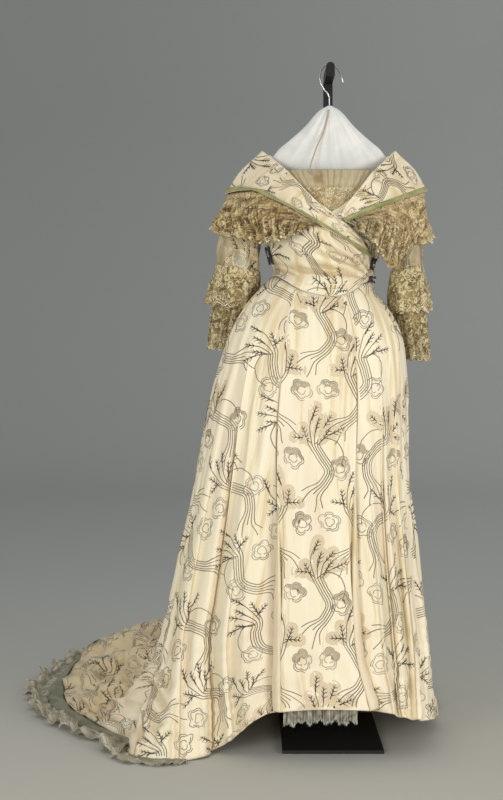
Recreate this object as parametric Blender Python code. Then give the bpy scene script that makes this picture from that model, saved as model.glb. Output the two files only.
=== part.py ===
"""Evening dress with a train, hung on a padded hanger from a square post on a base plate.

Metres. Z is up, X is the viewer's right, the dress faces -Y, the origin is under the base plate.
Angles go round the dress from the front centre towards the wearer's right side, which is at -X.
"""

import math

import bpy
import numpy as np

SILK = 0.0015
LACE = 0.0012
SEAM = 0.00015
LAYER = 0.0007
STEP = 1e-4

PLATE_SIZE = (0.233, 0.344, 0.008)
POST_SIDE = 0.022
POST_Y = 0.060
ARM_FRONT = -0.055
ARM_BOTTOM = 1.573
ARM_TOP = 1.606
ARM_WIDTH = 0.0206
WIRE = 0.0015
HOOK_Y = -0.014
ANKLE_Z = 0.30
SHOULDER_Z = 1.390

# Rings of the body of the dress. z, centre x, half widths to -X and +X, centre y, depths front and back.
RINGS = np.array([
    (0.300, -0.030, 0.360, 0.262, 0.010, 0.220, 0.340),
    (0.470, -0.030, 0.324, 0.240, 0.000, 0.190, 0.280),
    (0.680, -0.030, 0.280, 0.220, -0.010, 0.160, 0.210),
    (0.800, -0.030, 0.256, 0.218, -0.020, 0.140, 0.175),
    (0.930, -0.030, 0.220, 0.207, -0.030, 0.115, 0.136),
    (0.980, -0.030, 0.200, 0.193, -0.025, 0.108, 0.120),
    (1.030, -0.028, 0.174, 0.163, -0.015, 0.100, 0.104),
    (1.075, -0.020, 0.145, 0.125, -0.005, 0.096, 0.092),
    (1.110, -0.0125, 0.1215, 0.1205, 0.0, 0.088, 0.082),
    (1.140, -0.012, 0.130, 0.129, 0.0, 0.101, 0.085),
    (1.180, -0.010, 0.142, 0.142, 0.0, 0.118, 0.090),
    (1.240, -0.005, 0.158, 0.156, 0.0, 0.127, 0.095),
    (1.300, -0.002, 0.163, 0.161, 0.0, 0.118, 0.092),
    (1.350, 0.0, 0.163, 0.161, 0.0, 0.080, 0.075),
    (1.375, 0.0, 0.163, 0.161, 0.0, 0.040, 0.040),
    (1.392, 0.0, 0.163, 0.161, 0.0, 0.0056, 0.0056),
])

# Hem of the silk. Angle, x, y, z.
HEM = np.array([
    (-60.0, 0.200, -0.200, 0.085),
    (-40.0, 0.150, -0.222, 0.098),
    (-22.0, 0.104, -0.234, 0.112),
    (0.0, -0.025, -0.240, 0.118),
    (20.0, -0.156, -0.228, 0.104),
    (32.0, -0.215, -0.196, 0.055),
    (41.0, -0.255, -0.186, 0.020),
    (49.0, -0.290, -0.198, 0.004),
    (57.0, -0.345, -0.233, 0.002),
    (65.0, -0.408, -0.230, 0.002),
    (74.0, -0.471, -0.172, 0.002),
    (84.0, -0.482, -0.080, 0.002),
    (96.0, -0.590, 0.110, 0.004),
    (110.0, -0.670, 0.280, 0.010),
    (122.0, -0.695, 0.470, 0.024),
    (135.0, -0.675, 0.690, 0.040),
    (148.0, -0.606, 0.890, 0.060),
    (162.0, -0.420, 0.990, 0.050),
    (180.0, -0.130, 0.900, 0.030),
    (202.0, 0.140, 0.640, 0.016),
    (224.0, 0.292, 0.300, 0.016),
    (250.0, 0.262, 0.020, 0.040),
    (275.0, 0.235, -0.120, 0.066),
])

# Where the bodice meets the skirt. Angle, z.
WAIST = np.array([
    (-90.0, 1.098), (-60.0, 1.088), (-30.0, 1.058), (-10.0, 1.048), (15.0, 1.060),
    (40.0, 1.084), (65.0, 1.098), (90.0, 1.100), (180.0, 1.100), (270.0, 1.098),
])

# Long folds: angle, half width, depth inwards, lean in degrees, height where each starts and where it is full.
FOLDS = np.array([
    (21.5, 8.0, 0.034, -7.0, 0.80, 0.25),
    (-23.5, 8.0, 0.034, 7.0, 0.86, 0.25),
    (33.0, 5.0, 0.016, 2.0, 0.55, 0.10),
    (42.0, 6.0, 0.022, 3.0, 0.95, 0.30),
    (51.0, 5.0, -0.010, 0.0, 0.60, 0.10),
    (62.0, 7.0, -0.010, 0.0, 0.95, 0.40),
    (84.0, 8.0, 0.036, -3.0, 0.80, 0.10),
    (103.0, 7.0, 0.012, 0.0, 0.90, 0.30),
    (-38.0, 6.0, 0.016, -3.0, 0.90, 0.30),
    (-50.0, 7.0, 0.018, -4.0, 0.96, 0.20),
    (-64.0, 6.0, 0.012, 0.0, 0.70, 0.10),
    (-80.0, 8.0, 0.014, 0.0, 0.90, 0.30),
    (128.0, 8.0, 0.014, 0.0, 0.95, 0.35),
    (150.0, 9.0, 0.018, 0.0, 0.98, 0.35),
    (173.0, 9.0, 0.020, 0.0, 0.98, 0.35),
    (208.0, 9.0, 0.018, 0.0, 0.98, 0.35),
    (236.0, 9.0, 0.014, 0.0, 0.95, 0.30),
    (258.0, 8.0, 0.012, 0.0, 0.90, 0.30),
])

# Ridges of the train. Angle, half width, height, place of the crest from ankle 0 to hem 1, length.
CRESTS = np.array([
    (95.0, 7.0, 0.020, 0.75, 0.35),
    (107.0, 7.0, 0.045, 0.66, 0.42),
    (118.0, 6.0, 0.030, 0.80, 0.35),
    (128.0, 7.0, 0.055, 0.62, 0.45),
    (140.0, 7.0, 0.050, 0.72, 0.40),
    (153.0, 8.0, 0.060, 0.70, 0.42),
    (167.0, 8.0, 0.040, 0.74, 0.38),
    (183.0, 9.0, 0.040, 0.66, 0.45),
    (200.0, 9.0, 0.030, 0.72, 0.38),
    (216.0, 8.0, 0.024, 0.70, 0.40),
])

# Facing and dust ruffle beyond the hem of the train. Angle, width of facing, width of ruffle.
TRAIN_EDGE = np.array([
    (54.0, 0.004, 0.014), (64.0, 0.006, 0.028), (74.0, 0.016, 0.034), (84.0, 0.040, 0.036),
    (96.0, 0.052, 0.036), (118.0, 0.052, 0.036), (138.0, 0.036, 0.038), (150.0, 0.018, 0.038),
    (165.0, 0.012, 0.034), (220.0, 0.010, 0.026),
])

# Neck edge of each bodice front, as the angle from the front centre at each height.
WRAP_EDGE = np.array([
    (1.040, -68.0), (1.120, -68.0), (1.136, -66.0), (1.150, -54.0), (1.175, -37.0), (1.210, -18.0),
    (1.245, 0.0), (1.285, 22.0), (1.320, 36.0), (1.360, 50.0), (1.392, 60.0),
])
UNDER_EDGE = np.array([
    (1.040, -48.0), (1.120, -44.0), (1.160, -30.0), (1.200, -14.0), (1.235, 2.0), (1.255, -8.0),
    (1.285, -22.0), (1.320, -36.0), (1.360, -50.0), (1.392, -60.0),
])
BACK_EDGE = np.array([(1.040, 180.0), (1.300, 180.0), (1.325, 160.0), (1.350, 136.0), (1.392, 120.0)])
INSERT_EDGE = np.array([(1.236, 10.0), (1.270, 24.0), (1.300, 36.0), (1.335, 46.0), (1.356, 52.0)])
ARMHOLE_Z = 1.290
ARMHOLE_HALF_HEIGHT = 0.100
ARMHOLE_HALF_ANGLE = 19.0
SIDE_ANGLE = 90.0

# Rings of an arm, from the shoulder down. Inner x, inner z, outer x, outer z, centre y, half depth.
ARM_RIGHT = np.array([
    (-0.164, 1.198, -0.192, 1.326, 0.000, 0.044),
    (-0.166, 1.184, -0.232, 1.262, 0.004, 0.050),
    (-0.168, 1.150, -0.264, 1.190, 0.014, 0.054),
    (-0.170, 1.100, -0.272, 1.112, 0.034, 0.053),
    (-0.183, 1.045, -0.275, 1.050, 0.064, 0.048),
    (-0.206, 0.990, -0.279, 0.990, 0.094, 0.043),
    (-0.222, 0.930, -0.281, 0.925, 0.112, 0.041),
    (-0.228, 0.890, -0.281, 0.885, 0.120, 0.040),
])
ARM_LEFT = np.array([
    (0.162, 1.198, 0.184, 1.326, 0.000, 0.044),
    (0.161, 1.184, 0.208, 1.262, 0.004, 0.048),
    (0.157, 1.150, 0.222, 1.190, 0.012, 0.048),
    (0.153, 1.100, 0.227, 1.112, 0.028, 0.046),
    (0.157, 1.045, 0.229, 1.050, 0.050, 0.044),
    (0.170, 0.990, 0.235, 0.985, 0.074, 0.042),
    (0.186, 0.930, 0.240, 0.920, 0.094, 0.040),
    (0.194, 0.890, 0.240, 0.885, 0.102, 0.038),
])

# Edges of the collar from the shoulder to the front end. x, y, z.
NECK_RIGHT = np.array([
    (-0.1620, 0.000, 1.4035), (-0.1102, -0.068, 1.3537), (-0.0737, -0.114, 1.3088),
    (-0.0398, -0.133, 1.2710), (-0.0058, -0.140, 1.2348), (0.0295, -0.134, 1.2173),
    (0.0610, -0.114, 1.1887), (0.0813, -0.092, 1.1671), (0.0975, -0.066, 1.1490),
])
OUTER_RIGHT = np.array([
    (-0.2515, 0.000, 1.2998), (-0.2192, -0.036, 1.3028), (-0.1906, -0.062, 1.3023),
    (-0.1437, -0.094, 1.2795), (-0.0975, -0.117, 1.2558), (-0.0515, -0.131, 1.2263),
    (-0.0055, -0.133, 1.1994), (0.0421, -0.117, 1.1722), (0.0940, -0.068, 1.1400),
])
NECK_LEFT = np.array([
    (0.1600, 0.000, 1.4035), (0.1229, -0.052, 1.3676), (0.0915, -0.091, 1.3347),
    (0.0664, -0.117, 1.3018), (0.0417, -0.131, 1.2716), (0.0140, -0.138, 1.2390),
])
OUTER_LEFT = np.array([
    (0.2373, 0.000, 1.3072), (0.2030, -0.036, 1.2933), (0.1641, -0.066, 1.2780),
    (0.1180, -0.096, 1.2590), (0.0760, -0.118, 1.2400), (0.0345, -0.132, 1.2200),
])
NECK_BACK = np.array([
    (-0.1620, 0.0022, 1.4035), (-0.120, 0.062, 1.388), (-0.060, 0.088, 1.378), (0.0, 0.096, 1.375),
    (0.060, 0.088, 1.378), (0.120, 0.062, 1.388), (0.1600, 0.0022, 1.4035),
])
OUTER_BACK = np.array([
    (-0.2515, 0.0022, 1.2998), (-0.205, 0.074, 1.292), (-0.110, 0.124, 1.284), (0.0, 0.140, 1.280),
    (0.110, 0.124, 1.284), (0.195, 0.074, 1.292), (0.2373, 0.0022, 1.3072),
])

# Lower edge of the lace bertha from its front end round to the centre back. x, y, z.
BERTHA_RIGHT = np.array([
    (-0.052, -0.138, 1.212), (-0.0908, -0.134, 1.1876), (-0.1254, -0.126, 1.1768),
    (-0.1555, -0.112, 1.1709), (-0.1905, -0.094, 1.1838), (-0.2503, -0.046, 1.1954),
    (-0.2720, 0.012, 1.2180), (-0.254, 0.080, 1.218), (-0.150, 0.140, 1.210), (-0.002, 0.166, 1.205),
])
BERTHA_LEFT = np.array([
    (0.048, -0.136, 1.204), (0.074, -0.127, 1.190), (0.098, -0.112, 1.165),
    (0.118, -0.100, 1.130), (0.140, -0.093, 1.112), (0.1650, -0.084, 1.144),
    (0.190, -0.072, 1.172), (0.224, -0.035, 1.178), (0.243, 0.020, 1.198),
    (0.228, 0.085, 1.205), (0.140, 0.140, 1.208), (0.002, 0.166, 1.205),
])


def curve(xs, ys, x):
    """Smooth values that never overshoot the table: cubic pieces with limited slopes."""
    ys = np.asarray(ys, float).reshape(len(xs), -1)
    step = np.diff(xs)
    slope = np.diff(ys, axis=0) / step[:, None]
    grade = np.zeros_like(ys)
    same = slope[1:] * slope[:-1] > 0
    w1 = (2 * step[1:] + step[:-1])[:, None]
    w2 = (step[1:] + 2 * step[:-1])[:, None]
    safe_a = np.where(same, slope[:-1], 1.0)
    safe_b = np.where(same, slope[1:], 1.0)
    grade[1:-1] = np.where(same, (w1 + w2) / (w1 / safe_a + w2 / safe_b), 0.0)
    grade[0] = slope[0]
    grade[-1] = slope[-1]
    x = np.clip(np.asarray(x, float), xs[0], xs[-1])
    i = np.clip(np.searchsorted(xs, x, side="right") - 1, 0, len(xs) - 2)
    h = step[i][..., None]
    t = ((x - xs[i]) / step[i])[..., None]
    a = ys[i] * (1 + 2 * t) * (1 - t) ** 2 + h * grade[i] * t * (1 - t) ** 2
    b = ys[i + 1] * t * t * (3 - 2 * t) + h * grade[i + 1] * t * t * (t - 1)
    return a + b


def smooth(x):
    x = np.clip(x, 0.0, 1.0)
    return x * x * (3 - 2 * x)


def bump(x):
    """One smooth wave, 1 at 0 and 0 beyond 1 on both sides."""
    return np.where(np.abs(x) < 1, 0.5 + 0.5 * np.cos(math.pi * np.clip(x, -1, 1)), 0.0)


def turn(angle, centre):
    """The angle moved by whole turns to lie within half a turn of the centre."""
    return (angle - centre + 180.0) % 360.0 - 180.0


def wrapped(table):
    """A table of angles lengthened by a turn at each end."""
    before = table.copy()
    after = table.copy()
    before[:, 0] -= 360.0
    after[:, 0] += 360.0
    return np.concatenate([before, table, after])


HEM_ROUND = wrapped(HEM)
WAIST_ROUND = wrapped(WAIST[:-1])


def unit(v):
    return v / np.maximum(np.linalg.norm(v, axis=-1, keepdims=True), 1e-12)


def stack(x, y, z):
    return np.stack(np.broadcast_arrays(x, y, z), axis=-1)


def body(angle, z):
    """The plain form of the dress at an angle and a height from the ankle to the shoulder."""
    cx, left, right, cy, front, back = np.moveaxis(curve(RINGS[:, 0], RINGS[:, 1:], z), -1, 0)
    a = np.radians(angle)
    wide = np.where(np.sin(a) > 0, left, right)
    deep = np.where(np.cos(a) > 0, front, back)
    return stack(cx - wide * np.sin(a), cy - deep * np.cos(a), z)


def hem(angle):
    return curve(HEM_ROUND[:, 0], HEM_ROUND[:, 1:], angle)


def waist_z(angle):
    return curve(WAIST_ROUND[:, 0], WAIST_ROUND[:, 1], angle)[..., 0]


def sweep(angle, t):
    """From the ankle ring at 0 down and along the floor to the hem at 1."""
    start = body(angle, np.full_like(angle, ANKLE_Z))
    above = body(angle, np.full_like(angle, ANKLE_Z + 0.05))
    end = hem(angle)
    fall = unit(start - above)
    reach = np.linalg.norm((end - start)[..., :2], axis=-1)
    lying = smooth((reach - 0.09) / 0.16)
    down = 0.10 + 0.10 * lying
    first = start + fall * down[..., None]
    back = (start - end) * (0.33 + 0.17 * lying)[..., None]
    rise = back[..., 2] * (1 - 0.93 * lying)
    second = end + stack(back[..., 0], back[..., 1], rise)
    t = t[..., None]
    return (1 - t) ** 3 * start + 3 * t * (1 - t) ** 2 * first + 3 * t * t * (1 - t) * second + t ** 3 * end


def plain_skirt(angle, q):
    """The skirt without its folds. q runs from the waist at 0 through the ankle at 0.6 to the hem at 1."""
    top = waist_z(angle)
    z = top + (ANKLE_Z - top) * np.clip(q / 0.6, 0, 1)
    return np.where((q < 0.6)[..., None], body(angle, z), sweep(angle, np.clip((q - 0.6) / 0.4, 0, 1)))


def skirt(angle, q):
    """The outer face of the skirt with its folds, grooves and the ridges of the train."""
    angle, q = np.broadcast_arrays(np.asarray(angle, float), np.asarray(q, float))
    top = waist_z(angle)
    height = np.where(q < 0.6, top + (ANKLE_Z - top) * q / 0.6, ANKLE_Z * (1 - q) / 0.4)
    lean = np.zeros_like(angle)
    push = np.zeros_like(angle)
    run = np.clip((q - 0.6) / 0.4, 0, 1)
    reach = np.linalg.norm((hem(angle) - body(angle, np.full_like(angle, ANKLE_Z)))[..., :2], axis=-1)
    lying = smooth((reach - 0.09) / 0.16)
    for at, half, depth, tilt, start, full in FOLDS:
        wave = bump(turn(angle, at) / half) * smooth((start - height) / (start - full))
        held = 1 - lying * smooth((run - 0.25) / 0.35)
        lean += tilt * wave
        push -= depth * wave * held
    for at, half, rise, place, length in CRESTS:
        push += rise * bump(turn(angle, at) / half) * bump((run - place) / length)
    moved = angle + lean
    point = plain_skirt(moved, q)
    e = STEP * 10
    across = plain_skirt(moved + e, q) - plain_skirt(moved - e, q)
    down = plain_skirt(moved, np.minimum(q + STEP, 1)) - plain_skirt(moved, np.maximum(q - STEP, 0))
    point = point + unit(np.cross(across, down)) * push[..., None]
    point[..., 2] = np.maximum(point[..., 2], SILK + 0.0001)
    return point


def drape(angle, z):
    """Height of the soft folds that fan out from the left waist over the wrap."""
    along = np.radians(angle + 70.0) * 0.125
    up = z - 1.085
    far = np.hypot(along, up)
    fan = np.degrees(np.arctan2(up, along))
    inside = smooth((fan + 14) / 8) * smooth((62 - fan) / 10)
    wave = 0.5 + 0.5 * np.cos(np.radians(fan * 22))
    return 0.0042 * wave * inside * smooth(far / 0.05) * smooth((85 - angle) / 25)


def bodice(angle, z, push=0.0):
    point = body(angle, z)
    e = STEP
    across = body(angle + 10 * e, z) - body(angle - 10 * e, z)
    up = body(angle, np.minimum(z + e, SHOULDER_Z)) - body(angle, z - e)
    return point + unit(np.cross(up, across)) * np.asarray(push)[..., None]


def armhole(z):
    """How far the armhole opens from the side, in degrees, at a height."""
    r = np.clip((z - ARMHOLE_Z) / ARMHOLE_HALF_HEIGHT, -1, 1)
    return np.maximum(ARMHOLE_HALF_ANGLE * np.sqrt(np.maximum(1 - r * r, 0)), np.where(r > 0, 6.0, 0.0))


def arm(table, side, angle, q):
    """A sleeve surface. q is 0 at the armhole, 1 at the first ring, 2 at the second and so on."""
    a = np.radians(angle)
    loop_z = ARMHOLE_Z + (ARMHOLE_HALF_HEIGHT - 0.012) * np.cos(a) - 0.008
    loop_angle = side * (SIDE_ANGLE - ARMHOLE_HALF_ANGLE * np.sin(a))
    seat = 0.0031 - 0.0016 * bump(turn(angle, 180.0) / 60)
    rows = [bodice(loop_angle, loop_z, seat)]
    for inner_x, inner_z, outer_x, outer_z, y, deep in table:
        c = np.cos(a)
        x = (inner_x + outer_x) / 2 + (outer_x - inner_x) / 2 * c
        z = (inner_z + outer_z) / 2 + (outer_z - inner_z) / 2 * c
        rows.append(stack(x, y - deep * np.sin(a), z))
    rows = np.stack(rows)
    i = np.clip(np.floor(q).astype(int), 0, len(rows) - 2)
    t = (q - i)[..., None]
    grid = np.indices(i.shape)
    p0, p1, p2, p3 = (rows[(np.clip(i + k, 0, len(rows) - 1),) + tuple(grid)] for k in (-1, 0, 1, 2))
    p0 = np.where((i == 0)[..., None], 2 * p1 - p2, p0)
    second = 2 * p0 - 5 * p1 + 4 * p2 - p3
    third = 3 * p1 - p0 - 3 * p2 + p3
    return 0.5 * (2 * p1 + (p2 - p0) * t + second * t ** 2 + third * t ** 3)


def moved_out(surface, u, v, push, flip):
    """The surface moved along its normal."""
    e = STEP
    across = surface(u + e * 10, v) - surface(u - e * 10, v)
    along = surface(u, v + e) - surface(u, v - e)
    return surface(u, v) + unit(np.cross(across, along)) * flip * np.asarray(push)[..., None]


def even(a, b, n):
    return np.linspace(a, b, n + 1)


def stations(start, end, coarse, fine):
    """Angles from start to end, closer together where a fold or a ridge lies."""
    found = [start]
    at = start
    marks = [(f[0], f[1]) for f in FOLDS] + [(c[0], c[1]) for c in CRESTS]
    while at < end:
        near = any(abs(turn(at + fine / 2, m)) < w for m, w in marks)
        at += fine if near else coarse
        found.append(at)
    found = np.array(found)
    return start + (found - start) * (end - start) / (found[-1] - start)


def material(name, colour, roughness, metallic=0.0):
    m = bpy.data.materials.get(name)
    if m is None:
        m = bpy.data.materials.new(name)
        m.use_nodes = True
        shader = m.node_tree.nodes["Principled BSDF"]
        shader.inputs["Base Color"].default_value = (*colour, 1.0)
        shader.inputs["Roughness"].default_value = roughness
        shader.inputs["Metallic"].default_value = metallic
        m.diffuse_color = (*colour, 1.0)
    return m


def add(name, points, faces, paint, shade=True):
    mesh = bpy.data.meshes.new(name)
    mesh.from_pydata([tuple(p) for p in points], [], [tuple(int(i) for i in f) for f in faces])
    mesh.validate()
    mesh.materials.append(material(*paint))
    if shade:
        mesh.shade_smooth()
    made = bpy.data.objects.new(name, mesh)
    bpy.context.scene.collection.objects.link(made)
    return made


def sheet(name, surface, us, vs, thick, paint, flip=1.0, closed=False, trim=(1, 1, 1, 1), gathered=False):
    """A cloth wall. surface(u, v) is its outer face, and the inner face lies one thickness behind it.

    A gathered wall takes its directions from its own points, as its waves are only a few points long.
    """
    if closed:
        us = us[:-1]
        trim = (0, 0, trim[2], trim[3])
    u, v = np.meshgrid(us, vs, indexing="ij")
    point = surface(u, v)
    e = STEP
    low, high = vs[0], vs[-1]
    across = surface(u + e * 10, v) - surface(u - e * 10, v)
    along = surface(u, np.minimum(v + e, high)) - surface(u, np.maximum(v - e, low))
    if gathered:
        across, along = np.gradient(point, axis=0), np.gradient(point, axis=1)
    normal = unit(np.cross(across, along)) * flip
    point[0] += unit(across[0]) * SEAM * trim[0]
    point[-1] -= unit(across[-1]) * SEAM * trim[1]
    point[:, 0] += unit(along[:, 0]) * SEAM * trim[2]
    point[:, -1] -= unit(along[:, -1]) * SEAM * trim[3]
    inner = point - normal * thick
    nu, nv = u.shape
    points = np.concatenate([point.reshape(-1, 3), inner.reshape(-1, 3)])
    index = np.arange(nu * nv).reshape(nu, nv)
    faces = []
    spans = nu if closed else nu - 1
    for i in range(spans):
        k = (i + 1) % nu
        for j in range(nv - 1):
            quad = (index[i, j], index[k, j], index[k, j + 1], index[i, j + 1])
            # Both faces are split along the same, shorter diagonal, so that they stay apart.
            if np.linalg.norm(point[i, j] - point[k, j + 1]) > np.linalg.norm(point[k, j] - point[i, j + 1]):
                quad = quad[1:] + quad[:1]
            for half in ((quad[0], quad[1], quad[2]), (quad[0], quad[2], quad[3])):
                faces.append(half)
                faces.append(tuple(c + nu * nv for c in reversed(half)))
        for j, order in ((0, 1), (nv - 1, -1)):
            rim = (index[k, j], index[i, j], index[i, j] + nu * nv, index[k, j] + nu * nv)
            faces.append(rim[::order])
    if not closed:
        for i, order in ((0, 1), (nu - 1, -1)):
            for j in range(nv - 1):
                rim = (index[i, j], index[i, j + 1], index[i, j + 1] + nu * nv, index[i, j] + nu * nv)
                faces.append(rim[::order])
    if flip < 0:
        faces = [f[::-1] for f in faces]
    return add(name, points, faces, paint)


def prism(name, outline, low, high, paint):
    """A block with an outline in plan and flat ends at two heights."""
    n = len(outline)
    points = [(x, y, low) for x, y in outline] + [(x, y, high) for x, y in outline]
    faces = [tuple(range(n))[::-1], tuple(range(n, 2 * n))]
    faces += [(i, (i + 1) % n, (i + 1) % n + n, i + n) for i in range(n)]
    return add(name, points, faces, paint, shade=False)


def cord(name, path, radius, paint, sides=2):
    line = bpy.data.curves.new(name, "CURVE")
    line.dimensions = "3D"
    line.bevel_depth = radius
    line.bevel_resolution = sides
    line.use_fill_caps = True
    spline = line.splines.new("POLY")
    spline.points.add(len(path) - 1)
    for p, q in zip(spline.points, path):
        p.co = (*q, 1.0)
    line.materials.append(material(*paint))
    made = bpy.data.objects.new(name, line)
    bpy.context.scene.collection.objects.link(made)
    return made


CREAM = (0.80, 0.68, 0.47)
SILK_PAINT = ("cream_silk", CREAM, 0.42)
GREEN_PAINT = ("green_satin", (0.28, 0.34, 0.13), 0.38)
LACE_PAINT = ("gold_lace", (0.50, 0.38, 0.19), 0.85)
NET_PAINT = ("beige_net", (0.56, 0.45, 0.28), 0.80)
RUFFLE_PAINT = ("grey_ruffle", (0.45, 0.41, 0.30), 0.90)
WHITE_RUFFLE_PAINT = ("white_ruffle", (0.70, 0.66, 0.58), 0.85)
COVER_PAINT = ("white_cotton", (0.84, 0.84, 0.83), 0.80)
BLACK_PAINT = ("black_stand", (0.012, 0.012, 0.013), 0.45, 0.0)
WIRE_PAINT = ("bright_wire", (0.55, 0.55, 0.56), 0.30, 1.0)
VELVET_PAINT = ("black_velvet", (0.02, 0.018, 0.022), 0.90)
TAPE_PAINT = ("beige_tape", (0.55, 0.44, 0.26), 0.80)


def build_stand():
    w, d, t = PLATE_SIZE
    corners = [(-w / 2, -d / 2), (w / 2, -d / 2), (w / 2, d / 2), (-w / 2, d / 2)]
    prism("stand_plate", corners, 0.0, t, BLACK_PAINT)
    h = POST_SIDE / 2
    back = POST_Y + h
    front = POST_Y - h
    a = ARM_WIDTH / 2
    rounded = [(-a, ARM_BOTTOM), (a, ARM_BOTTOM), (a, ARM_TOP - 0.010)]
    for g in np.radians([30, 60, 90, 120, 150]):
        rounded.append((a * math.cos(g), ARM_TOP - 0.010 + 0.010 * math.sin(g)))
    rounded += [(-a, ARM_TOP - 0.010)]
    n = len(rounded)
    # The post and its arm are one bar: the profile of the arm runs back over the head of the post.
    points = [(x, ARM_FRONT, z) for x, z in rounded] + [(x, back, z) for x, z in rounded]
    faces = [tuple(range(n)), tuple(range(n, 2 * n))[::-1]]
    faces += [((i + 1) % n, i, i + n, (i + 1) % n + n) for i in range(n)]
    arm_bar = add("stand_post", points, faces, BLACK_PAINT, shade=False)
    post = prism("post_shaft", [(-h, front), (h, front), (h, back + 0.0004), (-h, back + 0.0004)],
                 PLATE_SIZE[2] + 0.0003, ARM_BOTTOM + 0.006, BLACK_PAINT)
    union = arm_bar.modifiers.new("join", "BOOLEAN")
    union.operation = "UNION"
    union.solver = "EXACT"
    union.object = post
    post.hide_render = True
    post.display_type = "WIRE"


def build_hanger():
    rise = [(-0.0005, HOOK_Y, 1.5109), (-0.0005, HOOK_Y, 1.530), (-0.004, HOOK_Y, 1.538),
            (-0.012, HOOK_Y, 1.547), (-0.021, HOOK_Y, 1.562), (-0.0235, HOOK_Y, 1.575),
            (-0.021, HOOK_Y, 1.592), (-0.012, HOOK_Y, 1.605), (0.000, HOOK_Y, 1.6085),
            (0.012, HOOK_Y, 1.605), (0.022, HOOK_Y, 1.594), (0.029, HOOK_Y, 1.580), (0.033, HOOK_Y, 1.565)]
    cord("hanger_hook", rise, WIRE, WIRE_PAINT)
    # Half outline of the cover: x, lower edge, upper edge, half thickness.
    cover = np.array([
        (0.000, 1.336, 1.5105, 0.030), (0.022, 1.337, 1.4990, 0.030), (0.060, 1.342, 1.4580, 0.028),
        (0.100, 1.350, 1.4230, 0.020), (0.120, 1.355, 1.4070, 0.013), (0.138, 1.361, 1.3860, 0.006),
        (0.151, 1.366, 1.3760, 0.004),
    ])

    def pad(u, v):
        low, high, thick = np.moveaxis(curve(cover[:, 0], cover[:, 1:], np.abs(u)), -1, 0)
        a = np.radians(v)
        c, s = np.cos(a), np.sin(a)
        z = (low + high) / 2 + (high - low) / 2 * np.sign(s) * np.abs(s) ** 1.3
        return stack(u, -0.014 * (1 - (u / 0.151) ** 2) - thick * np.sign(c) * np.abs(c) ** 0.8, z)

    half = np.array([0.0, 0.012, 0.034, 0.064, 0.098, 0.126, 0.144, 0.151])
    us = np.concatenate([-half[:0:-1], half])
    vs = even(0, 360, 12)[:-1]
    u, v = np.meshgrid(us, vs, indexing="ij")
    grid = pad(u, v)
    nu, nv = u.shape
    index = np.arange(nu * nv).reshape(nu, nv)
    faces = [(index[i, j], index[i, (j + 1) % nv], index[i + 1, (j + 1) % nv], index[i + 1, j])
             for i in range(nu - 1) for j in range(nv)]
    faces += [tuple(index[0, ::-1]), tuple(index[-1, :])]
    add("hanger_pad", grid.reshape(-1, 3), [f[::-1] for f in faces], COVER_PAINT)


def build_tape():
    held = bodice(np.array([17.9, 17.4]), np.array([1.354, 1.342]), -0.0052)
    path = np.array([(-0.003, -0.0330, 1.4970), (-0.013, -0.0440, 1.4500), (-0.034, -0.0585, 1.4000), *held])

    def tape(u, v):
        p = curve(even(0, 1, 4), path, u)
        return p + stack(v, 0 * v, 0 * v)

    sheet("hanging_tape", tape, even(0, 1, 8), np.array([-0.002, 0.002]), 0.001, TAPE_PAINT, flip=1.0)


SKIRT_PANELS = (
    ("skirt_front", -23.5, 21.5, 5.0, 1.9),
    ("skirt_front_side_right", 21.5, 84.0, 5.0, 2.2),
    ("skirt_side_right", 84.0, 128.0, 5.0, 2.7),
    ("skirt_back_right", 128.0, 180.0, 6.0, 3.3),
    ("skirt_back_left", 180.2, 236.0, 7.0, 4.2),
    ("skirt_side_left", 236.0, 296.0, 7.0, 4.2),
    ("skirt_front_side_left", 296.0, 336.5, 5.0, 2.0),
)


def hem_stations(start, end):
    """The stations of the skirt panels between two angles, so that the hem pieces meet them edge to edge."""
    found = np.concatenate([stations(*panel[1:]) for panel in SKIRT_PANELS[1:5]])
    found = np.unique(np.round(found, 9))
    return found[(found >= start) & (found <= end)]


def build_skirt():
    rows = np.array([0.0, 0.05, 0.11, 0.19, 0.31, 0.46, 0.60, 0.71, 0.80, 0.88, 0.945, 1.0])
    for name, start, end, coarse, fine in SKIRT_PANELS:
        sheet(name, skirt, stations(start, end, coarse, fine), rows, SILK, SILK_PAINT)


def edge_out(angle):
    """The level way out from the hem."""
    e = 0.2
    along = hem(angle + e) - hem(angle - e)
    return unit(stack(-along[..., 1], along[..., 0], 0 * along[..., 0]))


def hem_edge(angle):
    return skirt(angle, np.ones_like(angle))


def facing(angle, t):
    wide = curve(TRAIN_EDGE[:, 0], TRAIN_EDGE[:, 1], angle)[..., 0]
    start = hem_edge(angle) + edge_out(angle) * 0.0005
    down = np.minimum(start[..., 2], SILK + 0.0001)
    point = start + edge_out(angle) * (wide * t)[..., None]
    point[..., 2] = start[..., 2] + (down - start[..., 2]) * smooth(t) + 0.004 * bump(2 * t - 1)
    return point


def ruffle(angle, t):
    wide = curve(TRAIN_EDGE[:, 0], TRAIN_EDGE[:, 2], angle)[..., 0]
    joints = hem_stations(54, 220)
    edge = facing(joints, np.ones_like(joints))
    start = np.stack([np.interp(angle, joints, edge[:, k]) for k in range(3)], axis=-1)
    start = start + edge_out(angle) * 0.0018
    turns = np.where(angle < 160, angle - 160, (angle - 160) * 0.4) * math.pi * 2 / 2.41
    swing = np.cos(turns)
    point = start + edge_out(angle) * (wide * t * (1 + 0.18 * np.sin(turns * 0.37)))[..., None]
    point[..., 2] = start[..., 2] + (0.007 + 0.007 * swing) * smooth(t * 1.6) + 0.004 * smooth(t)
    return point


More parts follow.
